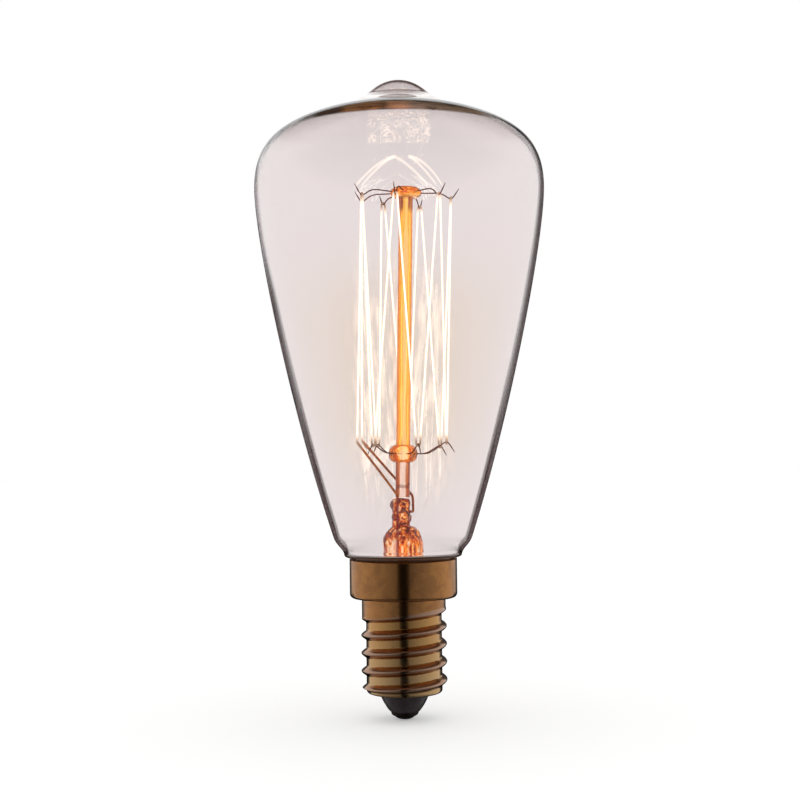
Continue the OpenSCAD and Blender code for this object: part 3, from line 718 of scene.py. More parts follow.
def stem_glass():
    """Kneaded glass: brown-red and orange with painted yellow highlights in the pinch, clearer in the tube,
    and a dark red line where the front seal wire shows through."""
    material, tree, output = new_material("stem_glass")
    place = place_mm(tree)
    x, y, z = axes(tree, place)
    grain = clouds(tree, place, 1.1, 4, 0.6, 0.9)
    drawn_out = clouds(tree, place_mm(tree, (1.8, 1.8, 0.4)), 1, 3, 0.6, 0.4)
    tube = spread(tree, z, PINCH_Z - 3, PINCH_Z - 0.8, 1, 0)
    mixed = plus(tree, blend(tree, tube, grain, drawn_out), times(tree, tube, 0.09))
    mixed = less(tree, mixed, spread(tree, facing(tree), 0.2, 0.7, 0, 0.12))
    mixed = plus(tree, times(tree, mixed, 1.5), -0.265)
    mixed = plus(tree, mixed, spread(tree, z, PINCH_Z + 1.2, PINCH_Z + 2.6, 0, -0.045))
    # The last, yellow-white stops are painted highlights
    colour = ramp(tree, mixed, (
        (0.36, (0.07, 0.007, 0.003)), (0.44, (0.3, 0.03, 0.004)), (0.5, (0.6, 0.09, 0.006)),
        (0.56, (0.95, 0.26, 0.015)), (0.61, (1, 0.62, 0.15)), (0.67, (1, 0.92, 0.75))))
    off_wire = size_of(tree, plus(tree, x, RED_LINE_X))
    wire = times(tree, spread(tree, off_wire, 0.14, 0.3, 0.85, 0), spread(tree, y, -0.3, 0, 1, 0))
    colour = blend(tree, wire, colour, (0.3, 0.015, 0.008))
    worked_glass(tree, output, colour, 0.3, grain, 0.25, 0.75)
    return material


def rod_glass():
    """Clear rod with orange-brown edges, painted bright and dark lines along them, and amber all over between
    the two buttons.
    """
    material, tree, output = new_material("rod_glass")
    x, _, z = axes(tree, place_mm(tree))
    grain = clouds(tree, place_mm(tree, (1, 1, 0.12)), 1.2, 3)
    seen = plus(tree, facing(tree), spread(tree, grain, 0.3, 0.7, -0.03, 0.05))
    below = ramp(tree, seen, (
        (0.08, (0.82, 0.66, 0.58)), (0.14, (0.42, 0.09, 0.012)), (0.4, (0.3, 0.05, 0.008)),
        (0.8, (0.15, 0.02, 0.006))))
    leaning = times(tree, less(tree, z, ROD_Z), math.sin(ROD_LEAN))
    left_darker = spread(tree, less(tree, x, leaning), -0.7, 0.2, 0.14, 0)
    amber = ramp(tree, plus(tree, seen, left_darker), (
        (0, (0.94, 0.57, 0.25)), (0.05, (0.95, 0.58, 0.2)), (0.09, (1, 0.66, 0.12)),
        (0.13, (0.7, 0.25, 0.015)), (0.18, (1, 0.6, 0.06)), (0.32, (0.95, 0.42, 0.03)),
        (0.5, (0.55, 0.14, 0.01)), (0.8, (0.35, 0.07, 0.01))))
    colour = blend(tree, spread(tree, z, LOWER_BUTTON_Z - 1, LOWER_BUTTON_Z + 1), below, amber)
    under_button = spread(tree, z, UPPER_BUTTON_Z - 3.8, UPPER_BUTTON_Z - 2.2)
    dark = times(tree, under_button, between(tree, seen, (0.08, 0.14), (0.24, 0.34)))
    colour = blend(tree, dark, colour, (0.25, 0.04, 0.01))
    worked_glass(tree, output, colour, 0.2, grain, 0.02, 0.9)
    return material


def red_glass():
    """The upper button: orange-red, with painted light from the filament making it golden on its lower side.
    """
    material, tree, output = new_material("red_glass")
    z = axes(tree, place_mm(tree))[2]
    grain = clouds(tree, place_mm(tree, (0.7, 0.7, 1.5)), 1.1, 3, 0.6, 0.8)
    half = UPPER_BUTTON_T / 2
    height = spread(tree, z, UPPER_BUTTON_Z - half, UPPER_BUTTON_Z + half, kind="LINEAR")
    height = plus(tree, height, spread(tree, grain, 0.3, 0.7, -0.3, 0.3))
    colour = ramp(tree, height, (
        (0, (1, 0.78, 0.32)), (0.26, (1, 0.62, 0.12)), (0.4, (1, 0.36, 0.015)), (0.54, (0.85, 0.17, 0.005)),
        (0.66, (0.35, 0.04, 0.005)), (0.74, (0.95, 0.3, 0.015)), (0.95, (1, 0.5, 0.1))))
    colour = blend(tree, spread(tree, facing(tree), 0.45, 0.75, 0, 0.85), colour, (0.2, 0.03, 0.01))
    worked_glass(tree, output, colour, 0.32, grain, 0.06, 0.55)
    return material


def amber_glass():
    """The lower button: clear in the middle, then golden, then orange-brown to its edge, with painted bright
    and dark rings in it.
    """
    material, tree, output = new_material("amber_glass")
    grain = clouds(tree, place_mm(tree), 1.3, 3, 0.6, 0.6)
    normal = tree.nodes.new("ShaderNodeNewGeometry").outputs["Normal"]
    flatter = vector_maths(tree, "MULTIPLY", normal, (1, 1, 0.5))["Vector"]
    rounder = vector_maths(tree, "NORMALIZE", flatter)["Vector"]
    seen = plus(tree, facing(tree, rounder), spread(tree, grain, 0.3, 0.7, -0.07, 0.09))
    colour = ramp(tree, seen, (
        (0.08, (1, 0.72, 0.42)), (0.12, (1, 0.55, 0.06)), (0.15, (0.5, 0.08, 0.004)),
        (0.24, (0.36, 0.045, 0.003)), (0.3, (1, 0.4, 0.02)), (0.38, (0.18, 0.015, 0.002)),
        (0.5, (0.9, 0.3, 0.02)), (0.7, (0.12, 0.015, 0.003))))
    worked_glass(tree, output, colour, 0.35, grain, 0.04, 0.85)
    return material


def cap_brass():
    """Thin old brass: golden in the thread's roots, greyer and pinker on its rubbed crests."""
    material, tree, output = new_material("cap_brass")
    place = place_mm(tree)
    x, y, z = axes(tree, place)
    r = level_length(tree, x, y)
    patches = clouds(tree, place, 0.45, 4, 0.6, 0.4)
    fine = clouds(tree, place, 3.5, 5, 0.65)
    rings = clouds(tree, place_mm(tree, (0.3, 0.3, 9)), 1, 3, 0.6)
    band_z = spread(tree, x, -ROOT_R, ROOT_R, THREAD_TOP_Z - FIRST_CREST_DROP, THREAD_TOP_Z, "LINEAR")
    thread = spread(tree, less(tree, z, band_z), -0.2, 0.1, 1, 0)
    crests = times(tree, spread(tree, r, ROOT_R + 0.25, CREST_R - 0.1), thread)
    roots = times(tree, spread(tree, r, ROOT_R + 0.02, ROOT_R + 0.3, 1, 0), thread)
    golden = blend(tree, spread(tree, z, LIP_Z, THREAD_TOP_Z), (0.58, 0.37, 0.18), (0.58, 0.31, 0.11))
    colour = blend(tree, spread(tree, patches, 0.38, 0.62), (0.5, 0.23, 0.08), (0.39, 0.18, 0.07))
    colour = blend(tree, crests, colour, (0.5, 0.31, 0.215))
    colour = blend(tree, roots, colour, golden)
    colour = blend(tree, spread(tree, fine, 0.55, 0.75, 0, 0.5), colour, (0.2, 0.1, 0.06))
    rough = plus(tree, spread(tree, patches, 0.3, 0.7, 0.07, 0.16), spread(tree, fine, 0.5, 0.8, 0, 0.12))
    bump = bumps(tree, fine, 0.01, 0.4, bumps(tree, rings, 0.006, 0.5))
    surface = shader(tree, "BsdfPrincipled", Base_Color=colour, Metallic=1.0, Roughness=rough, Normal=bump)
    show(tree, output, surface.outputs[0])
    return material


def metal(name, bright, dull, roughness, scale=3.0, edge=(1, 1, 1)):
    """Wire or contact metal with darker patches. edge tints what it mirrors where it turns away."""
    material, tree, output = new_material(name)
    patches = clouds(tree, place_mm(tree), scale, 4, 0.6)
    colour = blend(tree, spread(tree, patches, 0.35, 0.7), bright, dull)
    rough = spread(tree, patches, 0.3, 0.7, roughness, roughness + 0.2)
    surface = shader(
        tree, "BsdfPrincipled", Base_Color=colour, Metallic=1.0, Roughness=rough,
        Specular_Tint=(*edge, 1), Normal=bumps(tree, patches, 0.01, 0.5))
    show(tree, output, surface.outputs[0])
    return material


def filament_glow():
    """The lit filament: white at its middle, yellow at its edges, cooler at its hooks and clamps,
    and brighter in the glass and metal that mirror it."""
    material, tree, output = new_material("filament_glow")
    place = place_mm(tree)
    z = axes(tree, place)[2]
    colour = blend(tree, spread(tree, facing(tree), 0.3, 0.9), (1, 0.94, 0.8), (1, 0.74, 0.4))
    lower_z = LOWER_BUTTON_Z + LOWER_ARCH
    upper_z = UPPER_BUTTON_Z - UPPER_DIP
    hot = between(tree, z, (lower_z - 0.2, lower_z + 1.6), (upper_z - 1.6, upper_z + 0.2))
    colour = blend(tree, hot, (1, 0.62, 0.36), colour)
    path = rays(tree)
    mirrored = maths(tree, "MAXIMUM", less(tree, path["Is Glossy Ray"], path["Is Transmission Ray"]))
    level = plus(tree, GLOW_LEVEL, times(tree, mirrored, MIRRORED_GLOW))
    level = times(tree, level, plus(tree, times(tree, hot, 1 - COOL_SHARE), COOL_SHARE))
    level = times(tree, level, spread(tree, clouds(tree, place, 1.5), 0.3, 0.7, 0.9, 1.15))
    surface = shader(
        tree, "BsdfPrincipled", Base_Color=(0.1, 0.09, 0.08, 1), Roughness=0.6,
        Emission_Color=colour, Emission_Strength=level)
    show(tree, output, surface.outputs[0])
    return material


def black_insulator():
    """Near-black vitreous glass with a soft shine."""
    material, tree, output = new_material("black_insulator")
    patches = clouds(tree, place_mm(tree), 0.8, 4, 0.6)
    colour = blend(tree, patches, (0.012, 0.008, 0.009), (0.028, 0.018, 0.021))
    rough = spread(tree, patches, 0.3, 0.7, 0.22, 0.42)
    surface = shader(
        tree, "BsdfPrincipled", Base_Color=colour, Roughness=rough,
        Normal=bumps(tree, patches, 0.03, 0.6))
    show(tree, output, surface.outputs[0])
    return material


def cement():
    """Pale gritty cement between the cap and the neck."""
    material, tree, output = new_material("cement")
    grit = clouds(tree, place_mm(tree), 4, 5, 0.7)
    colour = blend(tree, grit, (0.45, 0.38, 0.28), (0.62, 0.55, 0.43))
    surface = shader(tree, "BsdfPrincipled", Base_Color=colour, Roughness=0.9, Normal=bumps(tree, grit, 0.05))
    show(tree, output, surface.outputs[0])
    return material


materials = {
    "bulb_glass": bulb_glass(),
    "stem_glass": stem_glass(),
    "rod_glass": rod_glass(),
    "red_glass": red_glass(),
    "amber_glass": amber_glass(),
    "hook_wire": metal("hook_wire", (0.24, 0.07, 0.04), (0.06, 0.015, 0.01), 0.3, edge=(0.5, 0.2, 0.15)),
    "filament": filament_glow(),
    "lead_wire": metal("lead_wire", (0.7, 0.25, 0.08), (0.2, 0.05, 0.02), 0.35, edge=(0.7, 0.3, 0.2)),
    "seal_wire": metal("seal_wire", (0.5, 0.03, 0.01), (0.2, 0.01, 0.008), 0.4),
    "tail_wire": metal("tail_wire", (0.75, 0.4, 0.25), (0.5, 0.25, 0.15), 0.3),
    "cap_brass": cap_brass(),
    "insulator": black_insulator(),
    # The contact plate and its solder are painted near black, painted shade that stands in for the dark
    # surroundings they mirror
    "contact_brass": metal("contact_brass", (0.04, 0.025, 0.022), (0.018, 0.012, 0.012), 0.5, 1.5),
    "solder": metal("solder", (0.07, 0.06, 0.06), (0.025, 0.02, 0.02), 0.5, 1.5),
    "cement": cement(),
}


# Glass bulb

def bulb_outside():
    """Outline of the bulb from the neck's end to the tip."""
    foot = Vector((CONE_R, CONE_Z))
    widest = Vector((BULB_R, WIDEST_Z))
    crown = Vector((CROWN_R, CROWN_Z))
    height = WIDEST_Z - CONE_Z
    round_z = SHOULDER_Z + SHOULDER_ROUND
    blend_h = (CONE_Z - round_z) * SHOULDER_KEEP
    side = curve(
        foot, foot + height * CONE_KEEP * Vector((CONE_SLOPE, 1)),
        widest - Vector((0, height * WIDEST_KEEP)), widest, 90)
    top = curve(
        widest, widest + Vector((0, CROWN_RISE * CROWN_KEEP)), crown + CROWN_RISE * CROWN_LEAVE, crown, 60)
    tip = curve(
        crown, (CROWN_R * 0.8, CROWN_Z + TIP_H * 0.1), (CROWN_R * 0.58, TIP_Z), (0, TIP_Z), 28)
    shoulder = curve(
        (SHOULDER_R, round_z), (SHOULDER_R + 0.1, round_z + blend_h * 0.7),
        foot - blend_h * Vector((CONE_SLOPE, 1)), foot, 14)
    return (
        line((NECK_R, NECK_Z), (NECK_R, SHOULDER_Z), 6)
        + arc((SHOULDER_R - SHOULDER_ROUND, round_z), SHOULDER_ROUND, -90, 0, 6)
        + shoulder[1:] + side[1:] + top[1:] + tip[1:])


def bulb_wall(z):
    """Thickness of the blown glass at a height."""
    foot = FOOT_WALL + (SIDE_WALL - FOOT_WALL) * ease(z, CONE_Z, WIDEST_Z - BULB_RISE / 3)
    crown = (CROWN_WALL - SIDE_WALL) * ease(z, WIDEST_Z, CROWN_Z)
    return foot + crown + (TIP_WALL - CROWN_WALL) * ease(z, CROWN_Z - 0.5, CROWN_Z + 1)


def inset(outline):
    """The bulb's inner outline, a wall's thickness inside the outer one."""
    inner = []
    for i, p in enumerate(outline):
        along = (outline[min(i + 1, len(outline) - 1)] - outline[max(i - 1, 0)]).normalized()
        inner.append(p + bulb_wall(p[1]) * Vector((-along[1], along[0])))
    return inner


def make_bulb():
    """The bulb's wall is even down to a flat floor, which closes it over the neck."""
    outside = bulb_outside()
    floor_z = SHOULDER_Z + SHELF_T
    first = next(i for i, p in enumerate(outside) if p[1] >= floor_z + SHELF_T)
    upper = inset(outside)[first:]
    upper[-1] = Vector((0, TIP_Z - TIP_WALL))
    neck = Vector((NECK_R - STEM_WALL, NECK_Z))
    bend = Vector((NECK_R - STEM_WALL, SHOULDER_Z - STEM_WALL / 2))
    corner = Vector((upper[0][0], floor_z))
    inner_neck = (
        curve(bend, (bend[0], floor_z), (bend[0], floor_z), (bend[0] + SHELF_T, floor_z), 6)
        + curve(corner - Vector((SHELF_T, 0)), corner, corner, upper[0], 6))
    inside = line(neck, bend, 6)[:-1] + inner_neck + upper[1:]
    inside = [Vector((max(p[0], 0), p[1])) for p in inside]
    bm = spun(list(reversed(inside)) + outside, steps=160)
    mesh_piece("glass_bulb", bm, "bulb_glass")


# Cap

def crest(turn, z):
    """Height of the thread's surface over its roots, from 0 to 1."""
    turns_up = (z - THREAD_TOP_Z + FIRST_CREST_DROP) / THREAD_PITCH - (turn - THREAD_START) / 360
    away = abs(turns_up - round(turns_up)) * THREAD_PITCH
    wave = (1 + math.cos(math.tau * away / CREST_W)) / 2 if away < CREST_W / 2 else 0
    return wave ** CREST_SHAPE


def band_edge(turn):
    """Lower edge of the plain band. The first crest rises into it over half a turn, and behind
    that the groove under the band runs out."""
    t = (turn - THREAD_START) % 360
    share = 1 - t / 180 if t < 180 else ease(t, 360 - GROOVE_END, 360)
    return THREAD_TOP_Z - FIRST_CREST_DROP * share


def thread_r(turn, z):
    """Outside radius of the thread, which runs into the plain band and into the lip."""
    r = ROOT_R + (CREST_R - ROOT_R) * crest(turn, z) * ease(z, LIP_Z, LIP_Z + LIP_H)
    edge_z = band_edge(turn)
    return r + (BAND_R - r) * ease(z, edge_z - THREAD_PITCH / 4, edge_z)


def make_shell():
    """Cap shell: the outside is spun, the thread is rolled into it, then the sheet gets its wall."""
    outline = (
        line((SKIRT_R, CAP_H), (SKIRT_R, SKIRT_Z + SKIRT_ROUND), 12)
        + arc((SKIRT_R - SKIRT_ROUND, SKIRT_Z + SKIRT_ROUND), SKIRT_ROUND, 0, -90, 8)[1:]
        + line((BAND_R + BAND_FILLET, SKIRT_Z), (BAND_R, SKIRT_Z - BAND_FILLET), 3)
        + line((BAND_R, SKIRT_Z - BAND_FILLET), (BAND_R, THREAD_TOP_Z), 6)[1:]
        + line((BAND_R, THREAD_TOP_Z), (ROOT_R, LIP_Z), 120)[1:]
        + arc((ROOT_R - LIP_H, LIP_Z), LIP_H, 0, -90, 6)[1:]
        + line((ROOT_R - LIP_H, SHELL_Z), (LIP_HOLE_R, SHELL_Z), 4)[1:])
    bm = spun(outline, steps=180)
    for vert in bm.verts:
        if LIP_Z <= vert.co.z <= THREAD_TOP_Z and math.hypot(vert.co.x, vert.co.y) > ROOT_R - 0.01:
            turn = math.degrees(math.atan2(vert.co.y, vert.co.x))
            vert.co.x, vert.co.y = polar(thread_r(turn, vert.co.z), turn, 0)[:2]
    ob = mesh_piece("cap_shell", bm, "cap_brass")
    wall = ob.modifiers.new("sheet", "SOLIDIFY")
    wall.thickness = SHEET * MM
    wall.offset = -1
    wall.use_even_offset = True


def make_contact_end():
    """Insulator, contact plate and the solder on it."""
    top = insulator_high.z
    seat_r = ROOT_R - SHEET - INSULATOR_GAP
    foot = Vector((PLATE_R - 0.02, INSULATOR_Z))
    lip = Vector((LIP_HOLE_R, SHELL_Z))
    cone = curve(foot, foot + Vector((0.6, 0.35)), lip - Vector((0.25, 0.9)), lip, 10)
    insulator = closed(vectors((EYELET_R, INSULATOR_Z)) + cone + vectors(
        (LIP_HOLE_R, SHELL_Z + SHEET), (ROOT_R - LIP_H - INSULATOR_GAP, SHELL_Z + SHEET),
        (seat_r, LIP_Z + INSULATOR_GAP), (seat_r, top), (EYELET_R, top)))
    mesh_piece("cap_insulator", spun(insulator, steps=128), "insulator")
    plate = closed(
        vectors((EYELET_HOLE_R, PLATE_Z))
        + arc((PLATE_R - PLATE_T, PLATE_Z + PLATE_T), PLATE_T, -90, 0, 12)
        + vectors((EYELET_R, PLATE_Z + PLATE_T), (EYELET_R, plate_high.z), (EYELET_HOLE_R, plate_high.z)))
    mesh_piece("contact_plate", spun(plate, steps=96), "contact_brass")
    drop = curve(
        (0, 0), (SOLDER_R * 0.55, 0), (SOLDER_R * 0.9, PLATE_Z * 0.4), (SOLDER_R, PLATE_Z), 12)
    mesh_piece("centre_solder", spun(drop + vectors((0, PLATE_Z)), steps=64), "solder")


# Stem, rod and buttons

def fused(bm, voxel):
    """Overlapping closed shapes, in millimetres, made one skin of small even faces."""
    mesh = mesh_from("loose", bm)
    ob = new_object("loose", mesh)
    remesh = ob.modifiers.new("skin", "REMESH")
    remesh.mode = "VOXEL"
    remesh.voxel_size = voxel
    seen = ob.evaluated_get(bpy.context.evaluated_depsgraph_get())
    skin = bmesh.new()
    skin.from_mesh(seen.to_mesh())
    bpy.data.objects.remove(ob)
    bpy.data.meshes.remove(mesh)
    return skin


def kneaded(bm):
    """A skin smoothed, and then pushed about above the cap's rim, as hand-worked glass is."""
    bm.normal_update()
    for _ in range(4):
        bmesh.ops.smooth_vert(
            bm, verts=bm.verts, factor=0.5, use_axis_x=True, use_axis_y=True, use_axis_z=True)
    bm.normal_update()
    for vert in bm.verts:
        worked = ease(vert.co.z, CAP_H, CAP_H + 2)
        lump = noise.noise(vert.co * 0.75)
        fold = abs(noise.noise(vert.co * Vector((1.6, 1.6, 0.9))))
        vert.co += vert.normal * worked * (KNEAD_LIFT * lump - KNEAD_FOLD * fold)
    return bm


def make_stem():
    """Stem: a flared tube that narrows into the lumpy pinch."""
    outside = (
        vectors((NECK_R, NECK_Z - STEM_WALL), (NECK_R, NECK_Z))
        + curve((NECK_R - STEM_WALL, NECK_Z), (STEM_R + FLARE_BEND, NECK_Z),
                (STEM_R, FLARE_TOP_Z - FLARE_BEND), (STEM_R, FLARE_TOP_Z), 12)
        + curve((STEM_R, PINCH_Z - NARROWING_H), (STEM_R, PINCH_Z - NARROWING_H * 0.45),
                (PINCH_W / 2 + STEM_R * 0.25, PINCH_Z), (PINCH_W / 2 - 0.1, PINCH_Z), 12)
        + vectors((0, PINCH_Z)))
    bore_r = STEM_R - STEM_WALL
    inside = (
        vectors((0, PINCH_FLOOR_Z), (PINCH_FLOOR_R, PINCH_FLOOR_Z), (bore_r, PINCH_Z - NARROWING_H))
        + list(reversed(curve(
            (NECK_R - 2 * STEM_WALL, NECK_Z - STEM_WALL), (bore_r + FLARE_BEND, NECK_Z - STEM_WALL),
            (bore_r, FLARE_TOP_Z - FLARE_BEND - STEM_WALL), (bore_r, FLARE_TOP_Z), 12)))
        + vectors((NECK_R - STEM_WALL, NECK_Z - STEM_WALL), (NECK_R, NECK_Z - STEM_WALL)))
    bm = spun(inside + outside[::-1], steps=72)
    core = bmesh.ops.create_cube(bm, size=1)["verts"]
    core_top_z = ROD_Z - 0.3
    core_h = PINCH_H + STEM_WALL - 0.3
    bmesh.ops.scale(bm, vec=(PINCH_W - 0.5, PINCH_T - 0.15, core_h), verts=core)
    bmesh.ops.translate(bm, vec=(-PINCH_SHIFT, 0, core_top_z - core_h / 2), verts=core)
    for right, up, half_w, half_h in LUMPS:
        lump = bmesh.ops.create_uvsphere(bm, u_segments=32, v_segments=20, radius=1)["verts"]
        bmesh.ops.scale(bm, vec=(half_w, PINCH_T / 2, half_h), verts=lump)
        bmesh.ops.translate(bm, vec=(right, 0, PINCH_Z + up), verts=lump)
    mesh_piece("stem_flare", kneaded(fused(bm, STEM_VOXEL)), "stem_glass")


def make_rod():
    """The rod leans a little and its glass is slightly uneven. Its top is sealed into the upper button."""
    top = UPPER_BUTTON_Z - ROD_END_GAP
    outline = vectors((0, ROD_Z)) + line((ROD_R, ROD_Z), (ROD_R, top), 120) + vectors((0, top))
    bm = spun(outline, steps=32)
    for vert in bm.verts:
        if math.hypot(vert.co.x, vert.co.y) > ROD_R / 2:
            swell = 1 + ROD_SWELL * noise.noise(Vector((0, 0, vert.co.z * 0.3)))
            vert.co.x *= swell
            vert.co.y *= swell
        vert.co = lean(vert.co)
    mesh_piece("centre_rod", bm, "rod_glass")


def make_button(name, z, r, t, slot):
    """A flattened bead of glass, not quite round."""
    edge = t * 0.29
    lower = curve((r * 0.54, -t / 2), (r * 0.78, -t / 2), (r, -edge), (r, 0), 12)
    upper = [Vector((p[0], -p[1])) for p in reversed(lower)]
    outline = vectors((0, -t / 2)) + lower + upper[1:] + vectors((0, t / 2))
    bm = spun(outline, steps=64)
    for vert in bm.verts:
        lump = noise.noise(vert.co * 0.5 + Vector((z, 0, 0)))
        vert.co *= 1 - BUTTON_UNEVEN + BUTTON_UNEVEN * lump
        vert.co = lean(vert.co + Vector((0, 0, z)))
    mesh_piece(name, bm, slot)


# Hooks, filament and lead wires

def loop(rise, ring_r, turns, bends, i):
    """Middle of a hook's wire at its loop."""
    return polar(ring_r + bends[i][0], turns[i], rise + bends[i][1])


def upper_loop(i):
    """Loop of an upper hook."""
    return loop(UPPER_BUTTON_Z - UPPER_DIP, UPPER_RING_R, UPPER_TURNS, UPPER_BENDS, i)


def lower_loop(i):
    """Loop of a lower hook."""
    return loop(LOWER_BUTTON_Z + LOWER_ARCH, LOWER_RING_R, LOWER_TURNS, LOWER_BENDS, i)


def make_hook(name, turn, button_r, button_z, at, knee_share, tail_rise):
    """A wire that leaves a button, bends at its loop and ends free."""
    r = math.hypot(at[0], at[1])
    knee = button_r + (r - button_r) * knee_share
    side = vectors(
        (button_r - HOOK_SEAT, button_z), (button_r + HOOK_STUB, button_z), (knee, button_z + HOOK_D / 2),
        (r - HOOK_TAIL * BEND_SHARE, at[2]), (r + HOOK_TAIL * BEND_SHARE, at[2]),
        (r + HOOK_TAIL, at[2] + tail_rise))
    points = [lean(polar(p[0], turn, p[1])) for p in rounded(side, 4)]
    wire_piece(name, points, HOOK_D, "hook_wire", (0.5, 0.8))


def make_hooks():
    """The hooks round the upper button and the lower one."""
    for i, turn in enumerate(UPPER_TURNS):
        make_hook(
            f"upper_hook_{i + 1}", turn, UPPER_BUTTON_R, UPPER_BUTTON_Z, upper_loop(i), UPPER_KNEE,
            UPPER_TAIL_RISE)
    for i, turn in enumerate(LOWER_TURNS):
        make_hook(
            f"lower_hook_{i + 1}", turn, LOWER_BUTTON_R, LOWER_BUTTON_Z, lower_loop(i), LOWER_KNEE,
            -LOWER_TAIL_DROP)


def half_turn(at, turn, up):
    """Half turn of the filament round a hook: over an upper one, under a lower one."""
    sideways = polar(1, turn + 90, 0)
    angles = [math.radians(a) for a in range(0, 181, 15)]
    return [
        at + TURN_R * (-math.cos(a) * sideways + up * math.sin(a) * Vector((0, 0, 1)))
        for a in angles]


def beside(tip, root):
    """Ends of the filament's run beside a lead's tip: the lower one, then the upper one."""
    down = (root - tip).normalized()
    off = down.cross(Vector((0, 0, 1))).normalized() * (LEAD_D + FILAMENT_D + FILAMENT_GAP) / 2
    return [tip + off + down * CLAMP_L, tip + off]


def folded(tip, root):
    """The lead's tip is folded back beside itself to grip the filament."""
    down = (root - tip).normalized()
    off = -down.cross(Vector((0, 0, 1))).normalized() * LEAD_D * 0.9
    return [tip, tip + off + LEAD_D / 4 * down, tip + off + CLAMP_L * down]


def make_filament():
    """One wire from the front lead's tip, up and down round the hooks, to the rear lead's tip."""
    path = beside(polar(*FRONT_TIP), FRONT_ROOT)
    for i, turn in enumerate(LOWER_TURNS):
        path += half_turn(upper_loop(i), UPPER_TURNS[i], 1)
        path += half_turn(lower_loop(i), turn, -1)
    path += half_turn(upper_loop(len(LOWER_TURNS)), UPPER_TURNS[-1], 1)
    path += reversed(beside(polar(*REAR_TIP), REAR_ROOT))
    wire_piece("filament", [lean(p) for p in path], FILAMENT_D, "filament")


def make_leads():
    """The front lead runs straight up to its tip. The rear one loops out of the pinch's side and
    passes behind the rod."""
    front = [FRONT_ROOT, FRONT_ROOT + Vector((0, 0, LEAD_D))]
    front += [lean(p) for p in folded(polar(*FRONT_TIP), FRONT_ROOT)]
    wire_piece("front_lead", rounded(front, 3), LEAD_D, "lead_wire")
    behind = ROD_R + LEAD_D / 2 + ROD_GAP * 3
    passing = Vector((0, behind, ROD_Z + LEAD_PASS_H))
    out = vectors(
        (0, 0, 0), (LEAD_D / 2, 0, 0), (LEAD_LOOP, 0, LEAD_D / 4), (LEAD_LOOP, LEAD_FRONT * 0.6, LEAD_D * 2))
    rear = [REAR_ROOT + step for step in out] + vectors(
        (PINCH_RIGHT + LEAD_LOOP, LEAD_FRONT / 2, ROD_Z),
        (PINCH_RIGHT, behind - LEAD_D, ROD_Z + LEAD_PASS_H * 0.4), passing)
    rear += [lean(p) for p in folded(polar(*REAR_TIP), passing)]
    wire_piece("rear_lead", rounded(rear, 3), LEAD_D, "lead_wire")


def make_seal_wires():
    """Two dark red wires through the pinch: the left one leaves on top, the right one at the side."""
    front = line((FRONT_ROOT[0], -LEAD_FRONT, PINCH_FLOOR_Z), FRONT_ROOT, 6)
    wire_piece("front_seal_wire", front, LEAD_D, "seal_wire")
    right, top = LEAD_PITCH / 2, REAR_ROOT[2]
    rear = vectors(
        (right, -LEAD_FRONT, PINCH_FLOOR_Z), (right, -LEAD_FRONT, top - LEAD_D),
        (right, -LEAD_FRONT, top), REAR_ROOT)
    wire_piece("rear_seal_wire", rounded(rear, 3), LEAD_D, "seal_wire")


def finish_cad_nodes():
    """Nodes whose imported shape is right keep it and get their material."""
    finishes = {
        "exhaust_tube": "stem_glass", "centre_tail_wire": "tail_wire", "side_tail_wire": "tail_wire",
        "side_solder": "solder", "basing_cement": "cement"}
    for node, slot in finishes.items():
        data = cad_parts[node].data
        data.materials.clear()
        data.materials.append(materials[slot])


# Floor and light

FLOOR_SIZE = 4


def make_floor():
    """A plain white floor. Metal and glass see the studio past it, and it keeps the lamp's shadow."""
    bm = bmesh.new()
    bmesh.ops.create_grid(bm, x_segments=1, y_segments=1, size=FLOOR_SIZE)
    floor = new_object("floor", mesh_from("floor", bm))
    material, tree, output = new_material("floor")
    paper = shader(
        tree, "BsdfPrincipled", Base_Color=(0.8, 0.8, 0.8, 1), Roughness=0.9,
        Emission_Color=(1, 1, 1, 1), Emission_Strength=0.28)
    clear = shader(tree, "BsdfTransparent", Color=(1, 1, 1, 1))
    path = rays(tree)
    past = maths(tree, "MAXIMUM", path["Is Glossy Ray"], path["Is Transmission Ray"])
    show(tree, output, swapped(tree, past, paper.outputs[0], clear.outputs[0]))
    floor.data.materials.append(material)


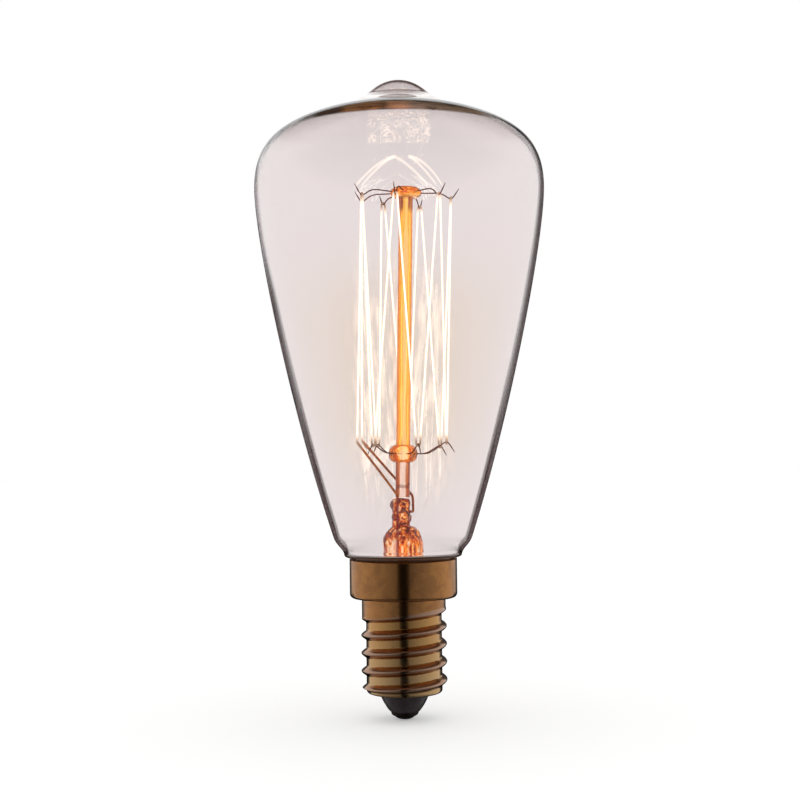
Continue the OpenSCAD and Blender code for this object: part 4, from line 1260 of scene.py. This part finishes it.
def mirrored_studio(tree, x, y, z):
    """What metal and the skin of the glass mirror: dark in front, brighter towards the sides and
    dark straight behind, with a light high behind at the left and in the middle, and a warm dark
    ceiling."""
    steep = size_of(tree, z)
    round_the_lamp = spread(tree, maths(tree, "DIVIDE", y, level_length(tree, x, y)), -1, 1, kind="LINEAR")
    level = ramp(tree, round_the_lamp, (
        (0, 0.01), (0.007, 0.03), (0.017, 0.2), (0.0625, 0.27), (0.19, 0.4), (0.5, 0.62),
        (0.73, 0.75), (0.9, 0.85), (0.945, 0.12), (1, 0.03)))
    level = times(tree, level, spread(tree, steep, 0.35, 0.8, 1, 0.3))
    low = times(tree, spread(tree, z, -0.15, -0.06, 0.9, 0), spread(tree, round_the_lamp, 0.82, 0.88))
    level = times(tree, level, less(tree, 1.0, low))
    left = times(tree, spread(tree, z, 0.2, 0.3), spread(tree, x, 0.15, 0.3, 1, 0))
    middle = times(tree, spread(tree, z, 0.02, 0.1), spread(tree, size_of(tree, x), 0.06, 0.14, 1, 0))
    light = times(tree, maths(tree, "MAXIMUM", left, middle), spread(tree, y, 0.7, 0.85))
    mirrored = blend(tree, light, level, (0.9, 0.9, 0.9))
    return blend(tree, spread(tree, z, 0.5, 0.62), mirrored, (0.13, 0.08, 0.05))


def make_studio():
    """White all round for the eye and for plain surfaces, with a studio for what mirrors it. Light
    through the glass is white from the sides and dark from above and below."""
    world = bpy.data.worlds.new("studio")
    bpy.context.scene.world = world
    world.use_nodes = True
    tree = world.node_tree
    tree.nodes.clear()
    output = tree.nodes.new("ShaderNodeOutputWorld")
    direction = tree.nodes.new("ShaderNodeTexCoord").outputs["Generated"]
    x, y, z = axes(tree, direction)
    through = blend(tree, spread(tree, size_of(tree, z), 0.4, 0.85), (1, 1, 1), (0.15, 0.15, 0.15))
    path = rays(tree)
    colour = blend(tree, path["Is Glossy Ray"], (1, 1, 1), mirrored_studio(tree, x, y, z))
    colour = blend(tree, path["Is Transmission Ray"], colour, through)
    background = shader(tree, "Background", Color=colour, Strength=1.0)
    tree.links.new(background.outputs[0], output.inputs[0])


make_bulb()
make_shell()
make_contact_end()
make_stem()
make_rod()
make_button("upper_button", UPPER_BUTTON_Z, UPPER_BUTTON_R, UPPER_BUTTON_T, "red_glass")
make_button("lower_button", LOWER_BUTTON_Z, LOWER_BUTTON_R, LOWER_BUTTON_T, "amber_glass")
make_hooks()
make_filament()
make_leads()
make_seal_wires()
finish_cad_nodes()
make_floor()
make_studio()

bpy.context.scene.view_settings.view_transform = "Standard"
